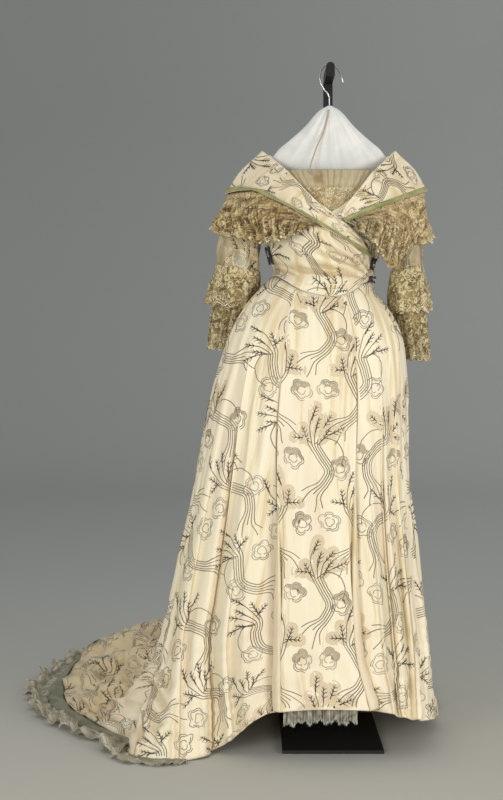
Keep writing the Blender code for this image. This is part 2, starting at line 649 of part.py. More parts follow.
def build_hem():
    joints = hem_stations(54, 220)
    sheet("train_facing", facing, joints, even(0, 1, 2), LACE, GREEN_PAINT)
    gathers = np.concatenate([even(joints[0], 160, 132), even(160, joints[-1], 24)[1:]])
    sheet("train_ruffle", ruffle, gathers, np.array([0.0, 1.0]), LACE, RUFFLE_PAINT, gathered=True)

    def frill(angle, t):
        wave = np.cos(np.radians(angle * 360 / 3.4)) * 0.5 + 0.5
        inward = -(SILK + LAYER + 0.0012) - (0.006 + 0.008 * wave) * smooth(t * 1.5)
        point = moved_out(skirt, angle, np.full_like(angle, 0.93), inward, 1.0)
        drop = hem_edge(angle)[..., 2] - skirt(angle, np.full_like(angle, 0.93))[..., 2]
        point[..., 2] = point[..., 2] + t * (drop - 0.027)
        return point

    rows = np.array([0.0, 0.4, 1.0])
    sheet("front_ruffle", frill, even(-13, 15.4, 28), rows, LACE, WHITE_RUFFLE_PAINT, gathered=True)


def panel(bottom_edge, outer_edge, bottom, top, push):
    """A bodice panel between two edges. u crosses it, v climbs it."""
    def surface(u, v):
        low = bottom
        z_here = low + (top - low) * v
        start = bottom_edge(z_here)
        end = outer_edge(z_here)
        angle = start + (end - start) * u
        foot = waist_z(angle) + 0.0007
        z = foot + (z_here - low) * (top - foot) / (top - low)
        return bodice(angle, z, push(angle, z))
    return surface


def build_bodice():
    right_side = lambda z: SIDE_ANGLE - armhole(z)
    left_side = lambda z: -(SIDE_ANGLE - armhole(z))
    wrap_edge = lambda z: curve(WRAP_EDGE[:, 0], WRAP_EDGE[:, 1], z)[..., 0]
    under_edge = lambda z: curve(UNDER_EDGE[:, 0], UNDER_EDGE[:, 1], z)[..., 0]
    back_edge = lambda z: curve(BACK_EDGE[:, 0], BACK_EDGE[:, 1], z)[..., 0]
    low = 1.05
    heights = np.concatenate([even(0, 0.45, 8), even(0.45, 1, 6)[1:]])
    wrap = panel(wrap_edge, right_side, low, SHOULDER_Z, drape)
    sheet("bodice_front_right", wrap, even(0, 1, 16), heights, SILK, SILK_PAINT, flip=-1.0)
    beneath = lambda a, z: -0.0038 * smooth((a + 84) / 8) * smooth((1.345 - z) / 0.03)
    under = panel(left_side, under_edge, low, SHOULDER_Z, beneath)
    sheet("bodice_front_left", under, even(0, 1, 8), even(0, 1, 10), SILK, SILK_PAINT, flip=-1.0)
    back_right = panel(lambda z: SIDE_ANGLE + armhole(z), back_edge, low, SHOULDER_Z, lambda a, z: 0.0 * a)
    sheet("bodice_back_right", back_right, even(0, 1, 7), even(0, 1, 7), SILK, SILK_PAINT, flip=-1.0)
    back_left = panel(lambda z: 360 - back_edge(z), lambda z: 360 - SIDE_ANGLE - armhole(z), low, SHOULDER_Z,
                      lambda a, z: 0.0 * a)
    sheet("bodice_back_left", back_left, even(0, 1, 7), even(0, 1, 7), SILK, SILK_PAINT, flip=-1.0)

    def insert(u, v):
        z = 1.236 + 0.120 * v
        half = curve(INSERT_EDGE[:, 0], INSERT_EDGE[:, 1], z)[..., 0]
        gather = 0.0012 * np.cos(u * math.pi * 9) * smooth(v * 1.4)
        return bodice(u * half, z, -0.0078 + gather)

    sheet("lace_insert", insert, even(-1, 1, 22), even(0, 1, 4), LACE, NET_PAINT, flip=-1.0)


def rail(table, u):
    return curve(even(0, 1, len(table) - 1), table, u)


def collar(neck, outer, rise):
    def surface(u, v):
        a = rail(neck, u)
        b = rail(outer, u)
        across = b - a
        mid = a + across * v[..., None]
        level = unit(stack(mid[..., 0], mid[..., 1] * 1.5, 0 * u))
        lift = rise * bump(2 * v - 1) * smooth(np.linalg.norm(across, axis=-1) / 0.06)
        return mid + (level + np.array([0, 0, 0.5])) * lift[..., None]
    return surface


def build_collar():
    parts = (
        ("right", NECK_RIGHT, OUTER_RIGHT, 0.006, 16, -1.0),
        ("left", NECK_LEFT, OUTER_LEFT, 0.006, 11, 1.0),
        ("back", NECK_BACK, OUTER_BACK, 0.004, 14, 1.0),
    )
    made = {}
    for name, neck, outer, rise, n, flip in parts:
        face = collar(neck, outer, rise)
        made[name] = face
        rows = np.array([0.0, 0.3, 0.6, 0.82, 1.0])
        sheet("collar_" + name, face, even(0, 1, n), rows, SILK, SILK_PAINT, flip=flip)

        def band(u, v, face=face, flip=flip):
            wide = np.linalg.norm(face(u, np.ones_like(v)) - face(u, np.zeros_like(v)), axis=-1)
            place = 1 - np.minimum(0.009 / np.maximum(wide, 0.001), 0.8) * (1 - v)
            return moved_out(face, u, place - 0.002, 0.0012 + 0.0009, flip)

        edges = np.array([0.0, 1.0])
        sheet("green_band_" + name, band, even(0, 1, n), edges, 0.0012, GREEN_PAINT, flip=flip)
    return made


def bertha(face, back, low, side, span):
    """The gathered lace from the front end of a collar round to the centre back."""
    flip = -1.0 if side < 0 else 1.0
    turn_at = 0.55

    def top(u):
        front_u = span * (1 - np.clip(u / turn_at, 0, 1))
        rear = np.clip((u - turn_at) / (1 - turn_at), 0, 1)
        rear_u = 0.5 * rear if side < 0 else 1 - 0.5 * rear
        a = moved_out(face, front_u, np.full_like(u, 0.98), -(SILK + LAYER + 0.0036), flip)
        rear_u = np.clip(rear_u, 0.001, 0.999)
        b = moved_out(back, rear_u, np.full_like(u, 0.95), -(SILK + LAYER + 0.0010), 1.0)
        mix = smooth((u - turn_at + 0.02) / 0.04)[..., None]
        return a * (1 - mix) + b * mix

    def surface(u, v):
        a = top(u)
        b = rail(low, u)
        p = a + (b - a) * v[..., None]
        level = unit(stack(p[..., 0], p[..., 1] * 1.6, 0 * u))
        wave = 0.5 + 0.5 * np.cos(u * math.pi * 2 * 17)
        calm = 1 - 0.7 * bump((u - 0.47) / 0.14) if side > 0 else 1.0
        swell = 0.009 * bump(2 * v - 1) * smooth(v * 4) + 0.013 * wave * smooth((v - 0.12) * 1.3) * calm
        return p + level * swell[..., None]
    return surface


def build_lace(faces):
    right = bertha(faces["right"], faces["back"], BERTHA_RIGHT, -1, 0.70)
    left = bertha(faces["left"], faces["back"], BERTHA_LEFT, 1, 0.90)
    rows = np.array([0, 0.25, 0.6, 1.0])
    sheet("bertha_lace_right", right, even(0, 1, 51), rows, LACE, LACE_PAINT, flip=1.0, gathered=True)
    sheet("bertha_lace_left", left, even(0, 1, 51), rows, LACE, LACE_PAINT, flip=-1.0, gathered=True)


def build_sleeves():
    for word, table, side, flip, upper, lower in (
        ("right", ARM_RIGHT, 1.0, -1.0, (3.75, 5.20), (4.70, 6.95)),
        ("left", ARM_LEFT, -1.0, 1.0, (3.75, 5.45), (4.70, 7.50)),
    ):
        def sleeve(angle, q, table=table, side=side, flip=flip):
            base = lambda a, b: arm(table, side, a, b)
            soft = 0.0018 * np.cos(np.radians(angle * 7)) * smooth(q - 0.4) * smooth((4.6 - q) / 1.0)
            return moved_out(base, angle, q, soft, flip)

        rows = np.array([0.0, 0.5, 1.0, 1.7, 2.5, 3.4, 4.2, 4.85])
        sheet("sleeve_" + word, sleeve, even(0, 360, 22), rows, SILK, SILK_PAINT, flip=flip, closed=True)
        for tier, (start, end), waves, full, flare, clear in (
            ("upper", upper, 9, 0.010, 0.009, 0.0022),
            ("lower", lower, 10, 0.008, 0.002, 0.0009),
        ):
            def flounce(angle, t, table=table, side=side, flip=flip, start=start, end=end, waves=waves,
                        full=full, flare=flare, clear=clear):
                base = lambda a, b: arm(table, side, a, b)
                wave = 0.5 + 0.5 * np.cos(np.radians(angle * waves))
                q = start + (end - start) * t * (1 + 0.05 * (wave - 0.5) * smooth(t * 1.2))
                free = 0.35 + 0.65 * (0.5 + 0.5 * np.cos(np.radians(angle)))
                push = LACE + clear + full * smooth(t * 1.3) * wave * free + flare * t
                return moved_out(base, angle, q, push, flip)

            sheet("sleeve_lace_" + tier + "_" + word, flounce, even(0, 360, 30),
                  np.array([0, 0.25, 0.6, 1.0]), LACE, LACE_PAINT, flip=flip, closed=True)


def build_ornaments():
    for name, angle0, z0, half_angle, half_height, push in (
        ("waist_ornament_upper", -62.5, 1.128, 5.0, 0.014, 0.0049),
        ("waist_ornament_lower", -66.0, 1.090, 7.0, 0.008, 0.0082),
        ("underarm_trim", 79.0, 1.150, 8.0, 0.020, 0.0053),
    ):
        def patch(u, v, centre=(angle0, z0), half=(half_angle, half_height), push=push):
            waist = 1 - 0.35 * (1 - np.abs(u)) ** 2
            angle, z = centre[0] + u * half[0], centre[1] + v * half[1] * waist
            return bodice(angle, z, push + 0.002 * (1 - u * u))

        sheet(name, patch, even(-1, 1, 4), even(-1, 1, 4), 0.003, VELVET_PAINT, flip=-1.0)


def main():
    for old in list(bpy.data.objects):
        bpy.data.objects.remove(old)
    build_stand()
    build_hanger()
    build_tape()
    build_skirt()
    build_hem()
    build_bodice()
    faces = build_collar()
    build_lace(faces)
    build_sleeves()
    build_ornaments()


main()
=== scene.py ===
"""Evening dress on its hanger stand, finished: figured silk, gathered lace, net and frayed ruffles.

The cloth follows the solids of the frame. Angles go round the dress from the front centre towards -X.
"""

import math

import bpy
import numpy as np
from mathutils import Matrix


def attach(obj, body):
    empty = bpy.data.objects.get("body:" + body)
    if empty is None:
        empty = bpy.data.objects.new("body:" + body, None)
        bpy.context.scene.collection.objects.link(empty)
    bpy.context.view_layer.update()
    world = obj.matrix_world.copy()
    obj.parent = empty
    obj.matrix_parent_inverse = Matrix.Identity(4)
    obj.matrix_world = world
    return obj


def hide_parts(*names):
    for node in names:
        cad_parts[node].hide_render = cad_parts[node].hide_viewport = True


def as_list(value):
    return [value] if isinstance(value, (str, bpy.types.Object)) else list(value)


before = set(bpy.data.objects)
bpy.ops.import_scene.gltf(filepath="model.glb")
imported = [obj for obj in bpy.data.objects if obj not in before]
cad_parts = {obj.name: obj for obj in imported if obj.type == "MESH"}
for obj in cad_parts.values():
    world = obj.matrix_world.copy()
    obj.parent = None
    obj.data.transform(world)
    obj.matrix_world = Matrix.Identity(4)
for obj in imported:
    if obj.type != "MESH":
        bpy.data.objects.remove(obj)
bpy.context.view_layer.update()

# In metres: the fine cloth's own thickness and the height of a woven thread on it, the walls of the silk and
# lace solids, the gap between layers and the small step that finds a slope.
SHELL = 0.0007
THREAD_LIFT = 0.00035
SILK = 0.0015
LACE = 0.0012
LAYER = 0.0007
STEP = 1e-4

# Heights at which the skirt begins to spread over the floor and at which the shoulders end.
ANKLE_Z = 0.30
SHOULDER_Z = 1.390

# Share of a skirt panel's length above the ankles, and the two edges of the front panel in degrees.
UPRIGHT = 0.6
FRONT_EDGES = (-23.5, 21.5)

# Rings of the body of the dress. z, centre x, half widths to -X and +X, centre y, depths front and back.
RINGS = np.array([
    (0.300, -0.030, 0.360, 0.262, 0.010, 0.220, 0.340),
    (0.470, -0.030, 0.324, 0.240, 0.000, 0.190, 0.280),
    (0.680, -0.030, 0.280, 0.220, -0.010, 0.160, 0.210),
    (0.800, -0.030, 0.256, 0.218, -0.020, 0.140, 0.175),
    (0.930, -0.030, 0.220, 0.207, -0.030, 0.115, 0.136),
    (0.980, -0.030, 0.200, 0.193, -0.025, 0.108, 0.120),
    (1.030, -0.028, 0.174, 0.163, -0.015, 0.100, 0.104),
    (1.075, -0.020, 0.145, 0.125, -0.005, 0.096, 0.092),
    (1.110, -0.0125, 0.1215, 0.1205, 0.0, 0.088, 0.082),
    (1.140, -0.012, 0.130, 0.129, 0.0, 0.101, 0.085),
    (1.180, -0.010, 0.142, 0.142, 0.0, 0.118, 0.090),
    (1.240, -0.005, 0.158, 0.156, 0.0, 0.127, 0.095),
    (1.300, -0.002, 0.163, 0.161, 0.0, 0.118, 0.092),
    (1.350, 0.0, 0.163, 0.161, 0.0, 0.080, 0.075),
    (1.375, 0.0, 0.163, 0.161, 0.0, 0.040, 0.040),
    (1.392, 0.0, 0.163, 0.161, 0.0, 0.0056, 0.0056),
])

# Hem of the silk. Angle, x, y, z.
HEM = np.array([
    (-60.0, 0.200, -0.200, 0.085),
    (-40.0, 0.150, -0.222, 0.098),
    (-22.0, 0.104, -0.234, 0.112),
    (0.0, -0.025, -0.240, 0.118),
    (20.0, -0.156, -0.228, 0.104),
    (32.0, -0.215, -0.196, 0.055),
    (41.0, -0.255, -0.186, 0.020),
    (49.0, -0.290, -0.198, 0.004),
    (57.0, -0.345, -0.233, 0.002),
    (65.0, -0.408, -0.230, 0.002),
    (74.0, -0.471, -0.172, 0.002),
    (84.0, -0.482, -0.080, 0.002),
    (96.0, -0.590, 0.110, 0.004),
    (110.0, -0.670, 0.280, 0.010),
    (122.0, -0.695, 0.470, 0.024),
    (135.0, -0.675, 0.690, 0.040),
    (148.0, -0.606, 0.890, 0.060),
    (162.0, -0.420, 0.990, 0.050),
    (180.0, -0.130, 0.900, 0.030),
    (202.0, 0.140, 0.640, 0.016),
    (224.0, 0.292, 0.300, 0.016),
    (250.0, 0.262, 0.020, 0.040),
    (275.0, 0.235, -0.120, 0.066),
])

# Where the bodice meets the skirt. Angle, z.
WAIST = np.array([
    (-90.0, 1.098), (-60.0, 1.088), (-30.0, 1.058), (-10.0, 1.048), (15.0, 1.060),
    (40.0, 1.084), (65.0, 1.098), (90.0, 1.100), (180.0, 1.100), (270.0, 1.098),
])

# Long folds: angle, half width, depth inwards, lean in degrees, height where each starts
# and where it is full. DEEP_FOLD is the depth of the deepest.
DEEP_FOLD = 0.034
FOLDS = np.array([
    (21.5, 8.0, 0.034, -7.0, 0.80, 0.25),
    (-23.5, 8.0, 0.034, 7.0, 0.86, 0.25),
    (33.0, 5.0, 0.016, 2.0, 0.55, 0.10),
    (42.0, 6.0, 0.022, 3.0, 0.95, 0.30),
    (51.0, 5.0, -0.010, 0.0, 0.60, 0.10),
    (62.0, 7.0, -0.010, 0.0, 0.95, 0.40),
    (84.0, 8.0, 0.036, -3.0, 0.80, 0.10),
    (103.0, 7.0, 0.012, 0.0, 0.90, 0.30),
    (-38.0, 6.0, 0.016, -3.0, 0.90, 0.30),
    (-50.0, 7.0, 0.018, -4.0, 0.96, 0.20),
    (-64.0, 6.0, 0.012, 0.0, 0.70, 0.10),
    (-80.0, 8.0, 0.014, 0.0, 0.90, 0.30),
    (128.0, 8.0, 0.014, 0.0, 0.95, 0.35),
    (150.0, 9.0, 0.018, 0.0, 0.98, 0.35),
    (173.0, 9.0, 0.020, 0.0, 0.98, 0.35),
    (208.0, 9.0, 0.018, 0.0, 0.98, 0.35),
    (236.0, 9.0, 0.014, 0.0, 0.95, 0.30),
    (258.0, 8.0, 0.012, 0.0, 0.90, 0.30),
])

# Ridges of the train. Angle, half width, height, place of the crest from ankle 0 to hem 1, length.
CRESTS = np.array([
    (95.0, 7.0, 0.020, 0.75, 0.35),
    (107.0, 7.0, 0.045, 0.66, 0.42),
    (118.0, 6.0, 0.030, 0.80, 0.35),
    (128.0, 7.0, 0.055, 0.62, 0.45),
    (140.0, 7.0, 0.050, 0.72, 0.40),
    (153.0, 8.0, 0.060, 0.70, 0.42),
    (167.0, 8.0, 0.040, 0.74, 0.38),
    (183.0, 9.0, 0.040, 0.66, 0.45),
    (200.0, 9.0, 0.030, 0.72, 0.38),
    (216.0, 8.0, 0.024, 0.70, 0.40),
])

# Facing and dust ruffle beyond the hem of the train. Angle, width of facing, width of ruffle.
TRAIN_EDGE = np.array([
    (54.0, 0.004, 0.014), (64.0, 0.006, 0.028), (74.0, 0.016, 0.034), (84.0, 0.040, 0.036),
    (96.0, 0.052, 0.036), (118.0, 0.052, 0.036), (138.0, 0.036, 0.038), (150.0, 0.018, 0.038),
    (165.0, 0.012, 0.034), (220.0, 0.010, 0.026),
])

# Neck edge of each bodice front, as the angle from the front centre at each height.
WRAP_EDGE = np.array([
    (1.040, -68.0), (1.120, -68.0), (1.136, -66.0), (1.150, -54.0), (1.175, -37.0), (1.210, -18.0),
    (1.245, 0.0), (1.285, 22.0), (1.320, 36.0), (1.360, 50.0), (1.392, 60.0),
])
UNDER_EDGE = np.array([
    (1.040, -48.0), (1.120, -44.0), (1.160, -30.0), (1.200, -14.0), (1.235, 2.0), (1.255, -8.0),
    (1.285, -22.0), (1.320, -36.0), (1.360, -50.0), (1.392, -60.0),
])
BACK_EDGE = np.array([(1.040, 180.0), (1.300, 180.0), (1.325, 160.0), (1.350, 136.0), (1.392, 120.0)])
INSERT_EDGE = np.array([(1.236, 10.0), (1.270, 24.0), (1.300, 36.0), (1.335, 46.0), (1.356, 52.0)])
ARMHOLE_Z = 1.290
ARMHOLE_HALF_HEIGHT = 0.100
ARMHOLE_HALF_ANGLE = 19.0
SIDE_ANGLE = 90.0

# Rings of an arm, from the shoulder down. Inner x, inner z, outer x, outer z, centre y, half depth.
ARM_RIGHT = np.array([
    (-0.164, 1.198, -0.192, 1.326, 0.000, 0.044),
    (-0.166, 1.184, -0.232, 1.262, 0.004, 0.050),
    (-0.168, 1.150, -0.264, 1.190, 0.014, 0.054),
    (-0.170, 1.100, -0.272, 1.112, 0.034, 0.053),
    (-0.183, 1.045, -0.275, 1.050, 0.064, 0.048),
    (-0.206, 0.990, -0.279, 0.990, 0.094, 0.043),
    (-0.222, 0.930, -0.281, 0.925, 0.112, 0.041),
    (-0.228, 0.890, -0.281, 0.885, 0.120, 0.040),
])
ARM_LEFT = np.array([
    (0.162, 1.198, 0.184, 1.326, 0.000, 0.044),
    (0.161, 1.184, 0.208, 1.262, 0.004, 0.048),
    (0.157, 1.150, 0.222, 1.190, 0.012, 0.048),
    (0.153, 1.100, 0.227, 1.112, 0.028, 0.046),
    (0.157, 1.045, 0.229, 1.050, 0.050, 0.044),
    (0.170, 0.990, 0.235, 0.985, 0.074, 0.042),
    (0.186, 0.930, 0.240, 0.920, 0.094, 0.040),
    (0.194, 0.890, 0.240, 0.885, 0.102, 0.038),
])

# Edges of the collar from the shoulder to the front end. x, y, z.
NECK_RIGHT = np.array([
    (-0.1620, 0.000, 1.4035), (-0.1102, -0.068, 1.3537), (-0.0737, -0.114, 1.3088),
    (-0.0398, -0.133, 1.2710), (-0.0058, -0.140, 1.2348), (0.0295, -0.134, 1.2173),
    (0.0610, -0.114, 1.1887), (0.0813, -0.092, 1.1671), (0.0975, -0.066, 1.1490),
])
OUTER_RIGHT = np.array([
    (-0.2515, 0.000, 1.2998), (-0.2192, -0.036, 1.3028), (-0.1906, -0.062, 1.3023),
    (-0.1437, -0.094, 1.2795), (-0.0975, -0.117, 1.2558), (-0.0515, -0.131, 1.2263),
    (-0.0055, -0.133, 1.1994), (0.0421, -0.117, 1.1722), (0.0940, -0.068, 1.1400),
])
NECK_LEFT = np.array([
    (0.1600, 0.000, 1.4035), (0.1229, -0.052, 1.3676), (0.0915, -0.091, 1.3347),
    (0.0664, -0.117, 1.3018), (0.0417, -0.131, 1.2716), (0.0140, -0.138, 1.2390),
])
OUTER_LEFT = np.array([
    (0.2373, 0.000, 1.3072), (0.2030, -0.036, 1.2933), (0.1641, -0.066, 1.2780),
    (0.1180, -0.096, 1.2590), (0.0760, -0.118, 1.2400), (0.0345, -0.132, 1.2200),
])
NECK_BACK = np.array([
    (-0.1620, 0.0022, 1.4035), (-0.120, 0.062, 1.388), (-0.060, 0.088, 1.378), (0.0, 0.096, 1.375),
    (0.060, 0.088, 1.378), (0.120, 0.062, 1.388), (0.1600, 0.0022, 1.4035),
])
OUTER_BACK = np.array([
    (-0.2515, 0.0022, 1.2998), (-0.205, 0.074, 1.292), (-0.110, 0.124, 1.284), (0.0, 0.140, 1.280),
    (0.110, 0.124, 1.284), (0.195, 0.074, 1.292), (0.2373, 0.0022, 1.3072),
])

# Lower edge of the lace bertha from its front end round to the centre back. x, y, z.
BERTHA_RIGHT = np.array([
    (-0.052, -0.138, 1.212), (-0.0908, -0.134, 1.1876), (-0.1254, -0.126, 1.1768),
    (-0.1555, -0.112, 1.1709), (-0.1905, -0.094, 1.1838), (-0.2503, -0.046, 1.1954),
    (-0.2720, 0.012, 1.2180), (-0.254, 0.080, 1.218), (-0.150, 0.140, 1.210), (-0.002, 0.166, 1.205),
])
BERTHA_LEFT = np.array([
    (0.048, -0.136, 1.204), (0.074, -0.127, 1.190), (0.098, -0.112, 1.165),
    (0.118, -0.100, 1.130), (0.140, -0.093, 1.112), (0.1650, -0.084, 1.144),
    (0.190, -0.072, 1.172), (0.224, -0.035, 1.178), (0.243, 0.020, 1.198),
    (0.228, 0.085, 1.205), (0.140, 0.140, 1.208), (0.002, 0.166, 1.205),
])


def curve(xs, ys, x):
    """Smooth values that never overshoot the table: cubic pieces with limited slopes."""
    ys = np.asarray(ys, float).reshape(len(xs), -1)
    step = np.diff(xs)
    slope = np.diff(ys, axis=0) / step[:, None]
    grade = np.zeros_like(ys)
    same = slope[1:] * slope[:-1] > 0
    w1 = (2 * step[1:] + step[:-1])[:, None]
    w2 = (step[1:] + 2 * step[:-1])[:, None]
    safe_a = np.where(same, slope[:-1], 1.0)
    safe_b = np.where(same, slope[1:], 1.0)
    grade[1:-1] = np.where(same, (w1 + w2) / (w1 / safe_a + w2 / safe_b), 0.0)
    grade[0] = slope[0]
    grade[-1] = slope[-1]
    x = np.clip(np.asarray(x, float), xs[0], xs[-1])
    i = np.clip(np.searchsorted(xs, x, side="right") - 1, 0, len(xs) - 2)
    h = step[i][..., None]
    t = ((x - xs[i]) / step[i])[..., None]
    a = ys[i] * (1 + 2 * t) * (1 - t) ** 2 + h * grade[i] * t * (1 - t) ** 2
    b = ys[i + 1] * t * t * (3 - 2 * t) + h * grade[i + 1] * t * t * (t - 1)
    return a + b


def smooth(x):
    """0 below 0, 1 above 1 and smooth between."""
    x = np.clip(x, 0.0, 1.0)
    return x * x * (3 - 2 * x)


def bump(x):
    """One smooth wave, 1 at 0 and 0 beyond 1 on both sides."""
    return np.where(np.abs(x) < 1, 0.5 + 0.5 * np.cos(math.pi * np.clip(x, -1, 1)), 0.0)


def table_at(table, k, at):
    """Column k of a table, read smoothly between its rows. The first column says where."""
    return curve(table[:, 0], table[:, k], at)[..., 0]


def turn(angle, centre):
    """The angle moved by whole turns to lie within half a turn of the centre."""
    return (angle - centre + 180.0) % 360.0 - 180.0


def wrapped(table):
    """A table of angles lengthened by a turn at each end."""
    before = table.copy()
    after = table.copy()
    before[:, 0] -= 360.0
    after[:, 0] += 360.0
    return np.concatenate([before, table, after])


HEM_ROUND = wrapped(HEM)
WAIST_ROUND = wrapped(WAIST[:-1])


def unit(v):
    """Vectors scaled to length 1."""
    return v / np.maximum(np.linalg.norm(v, axis=-1, keepdims=True), 1e-12)


def stack(x, y, z):
    """Coordinates joined to points."""
    return np.stack(np.broadcast_arrays(x, y, z), axis=-1)


def body(angle, z):
    """The plain form of the dress at an angle and a height from the ankle to the shoulder."""
    cx, left, right, cy, front, back = np.moveaxis(curve(RINGS[:, 0], RINGS[:, 1:], z), -1, 0)
    a = np.radians(angle)
    wide = np.where(np.sin(a) > 0, left, right)
    deep = np.where(np.cos(a) > 0, front, back)
    return stack(cx - wide * np.sin(a), cy - deep * np.cos(a), z)


def hem(angle):
    """The hem of the silk, as x, y and z."""
    return curve(HEM_ROUND[:, 0], HEM_ROUND[:, 1:], angle)


def waist_z(angle):
    """Height of the waist seam."""
    return table_at(WAIST_ROUND, 1, angle)


def sweep(angle, t):
    """From the ankle ring at 0 down and along the floor to the hem at 1."""
    start = body(angle, np.full_like(angle, ANKLE_Z))
    above = body(angle, np.full_like(angle, ANKLE_Z + 0.05))
    end = hem(angle)
    fall = unit(start - above)
    reach = np.linalg.norm((end - start)[..., :2], axis=-1)
    lying = smooth((reach - 0.09) / 0.16)
    down = 0.10 + 0.10 * lying
    first = start + fall * down[..., None]
    back = (start - end) * (0.33 + 0.17 * lying)[..., None]
    rise = back[..., 2] * (1 - 0.93 * lying)
    second = end + stack(back[..., 0], back[..., 1], rise)
    t = t[..., None]
    return (1 - t) ** 3 * start + 3 * t * (1 - t) ** 2 * first + 3 * t * t * (1 - t) * second + t ** 3 * end


def plain_skirt(angle, q):
    """The skirt without its folds. q runs from the waist at 0 through the ankle at 0.6 to the hem at 1."""
    top = waist_z(angle)
    z = top + (ANKLE_Z - top) * np.clip(q / 0.6, 0, 1)
    return np.where((q < 0.6)[..., None], body(angle, z), sweep(angle, np.clip((q - 0.6) / 0.4, 0, 1)))


def skirt(angle, q):
    """The outer face of the skirt with its folds, grooves and the ridges of the train."""
    angle, q = np.broadcast_arrays(np.asarray(angle, float), np.asarray(q, float))
    top = waist_z(angle)
    height = np.where(q < 0.6, top + (ANKLE_Z - top) * q / 0.6, ANKLE_Z * (1 - q) / 0.4)
    lean = np.zeros_like(angle)
    push = np.zeros_like(angle)
    run = np.clip((q - 0.6) / 0.4, 0, 1)
    reach = np.linalg.norm((hem(angle) - body(angle, np.full_like(angle, ANKLE_Z)))[..., :2], axis=-1)
    lying = smooth((reach - 0.09) / 0.16)
    for at, half, depth, tilt, start, full in FOLDS:
        wave = bump(turn(angle, at) / half) * smooth((start - height) / (start - full))
        held = 1 - lying * smooth((run - 0.25) / 0.35)
        lean += tilt * wave
        push -= depth * wave * held
    for at, half, rise, place, length in CRESTS:
        push += rise * bump(turn(angle, at) / half) * bump((run - place) / length)
    moved = angle + lean
    point = plain_skirt(moved, q)
    e = STEP * 10
    across = plain_skirt(moved + e, q) - plain_skirt(moved - e, q)
    down = plain_skirt(moved, np.minimum(q + STEP, 1)) - plain_skirt(moved, np.maximum(q - STEP, 0))
    point = point + unit(np.cross(across, down)) * push[..., None]
    point[..., 2] = np.maximum(point[..., 2], SILK + 0.0001)
    return point


def drape(angle, z):
    """Height of the soft folds that fan out from the left waist over the wrap."""
    along = np.radians(angle + 70.0) * 0.125
    up = z - 1.085
    far = np.hypot(along, up)
    fan = np.degrees(np.arctan2(up, along))
    inside = smooth((fan + 14) / 8) * smooth((62 - fan) / 10)
    wave = 0.5 + 0.5 * np.cos(np.radians(fan * 22))
    return 0.0042 * wave * inside * smooth(far / 0.05) * smooth((85 - angle) / 25)


def bodice(angle, z, push=0.0):
    """A point of the bodice, pushed out along its normal."""
    point = body(angle, z)
    e = STEP
    across = body(angle + 10 * e, z) - body(angle - 10 * e, z)
    up = body(angle, np.minimum(z + e, SHOULDER_Z)) - body(angle, z - e)
    return point + unit(np.cross(up, across)) * np.asarray(push)[..., None]


def armhole(z):
    """How far the armhole opens from the side, in degrees, at a height."""
    r = np.clip((z - ARMHOLE_Z) / ARMHOLE_HALF_HEIGHT, -1, 1)
    return np.maximum(ARMHOLE_HALF_ANGLE * np.sqrt(np.maximum(1 - r * r, 0)), np.where(r > 0, 6.0, 0.0))


def arm(table, side, angle, q):
    """A sleeve surface. q is 0 at the armhole, 1 at the first ring, 2 at the second and so on."""
    a = np.radians(angle)
    loop_z = ARMHOLE_Z + (ARMHOLE_HALF_HEIGHT - 0.012) * np.cos(a) - 0.008
    loop_angle = side * (SIDE_ANGLE - ARMHOLE_HALF_ANGLE * np.sin(a))
    seat = 0.0031 - 0.0016 * bump(turn(angle, 180.0) / 60)
    rows = [bodice(loop_angle, loop_z, seat)]
    for inner_x, inner_z, outer_x, outer_z, y, deep in table:
        c = np.cos(a)
        x = (inner_x + outer_x) / 2 + (outer_x - inner_x) / 2 * c
        z = (inner_z + outer_z) / 2 + (outer_z - inner_z) / 2 * c
        rows.append(stack(x, y - deep * np.sin(a), z))
    rows = np.stack(rows)
    i = np.clip(np.floor(q).astype(int), 0, len(rows) - 2)
    t = (q - i)[..., None]
    grid = np.indices(i.shape)
    p0, p1, p2, p3 = (rows[(np.clip(i + k, 0, len(rows) - 1),) + tuple(grid)] for k in (-1, 0, 1, 2))
    p0 = np.where((i == 0)[..., None], 2 * p1 - p2, p0)
    second = 2 * p0 - 5 * p1 + 4 * p2 - p3
    third = 3 * p1 - p0 - 3 * p2 + p3
    return 0.5 * (2 * p1 + (p2 - p0) * t + second * t ** 2 + third * t ** 3)


def moved_out(surface, u, v, push, flip):
    """The surface moved along its normal."""
    e = STEP
    across = surface(u + e * 10, v) - surface(u - e * 10, v)
    along = surface(u, v + e) - surface(u, v - e)
    return surface(u, v) + unit(np.cross(across, along)) * flip * np.asarray(push)[..., None]


def even(a, b, n):
    """The ends of n even steps from a to b."""
    return np.linspace(a, b, n + 1)


def stations(start, end, coarse, fine):
    """Angles from start to end, closer together where a fold or a ridge lies."""
    found = [start]
    at = start
    marks = [(f[0], f[1]) for f in FOLDS] + [(c[0], c[1]) for c in CRESTS]
    while at < end:
        near = any(abs(turn(at + fine / 2, m)) < w for m, w in marks)
        at += fine if near else coarse
        found.append(at)
    found = np.array(found)
    return start + (found - start) * (end - start) / (found[-1] - start)


# Panels of the skirt: start and end in degrees, coarse and fine steps of the solids.
SKIRT_PANELS = (
    ("skirt_front", -23.5, 21.5, 5.0, 1.9),
    ("skirt_front_side_right", 21.5, 84.0, 5.0, 2.2),
    ("skirt_side_right", 84.0, 128.0, 5.0, 2.7),
    ("skirt_back_right", 128.0, 180.0, 6.0, 3.3),
    ("skirt_back_left", 180.2, 236.0, 7.0, 4.2),
    ("skirt_side_left", 236.0, 296.0, 7.0, 4.2),
    ("skirt_front_side_left", 296.0, 336.5, 5.0, 2.0),
)


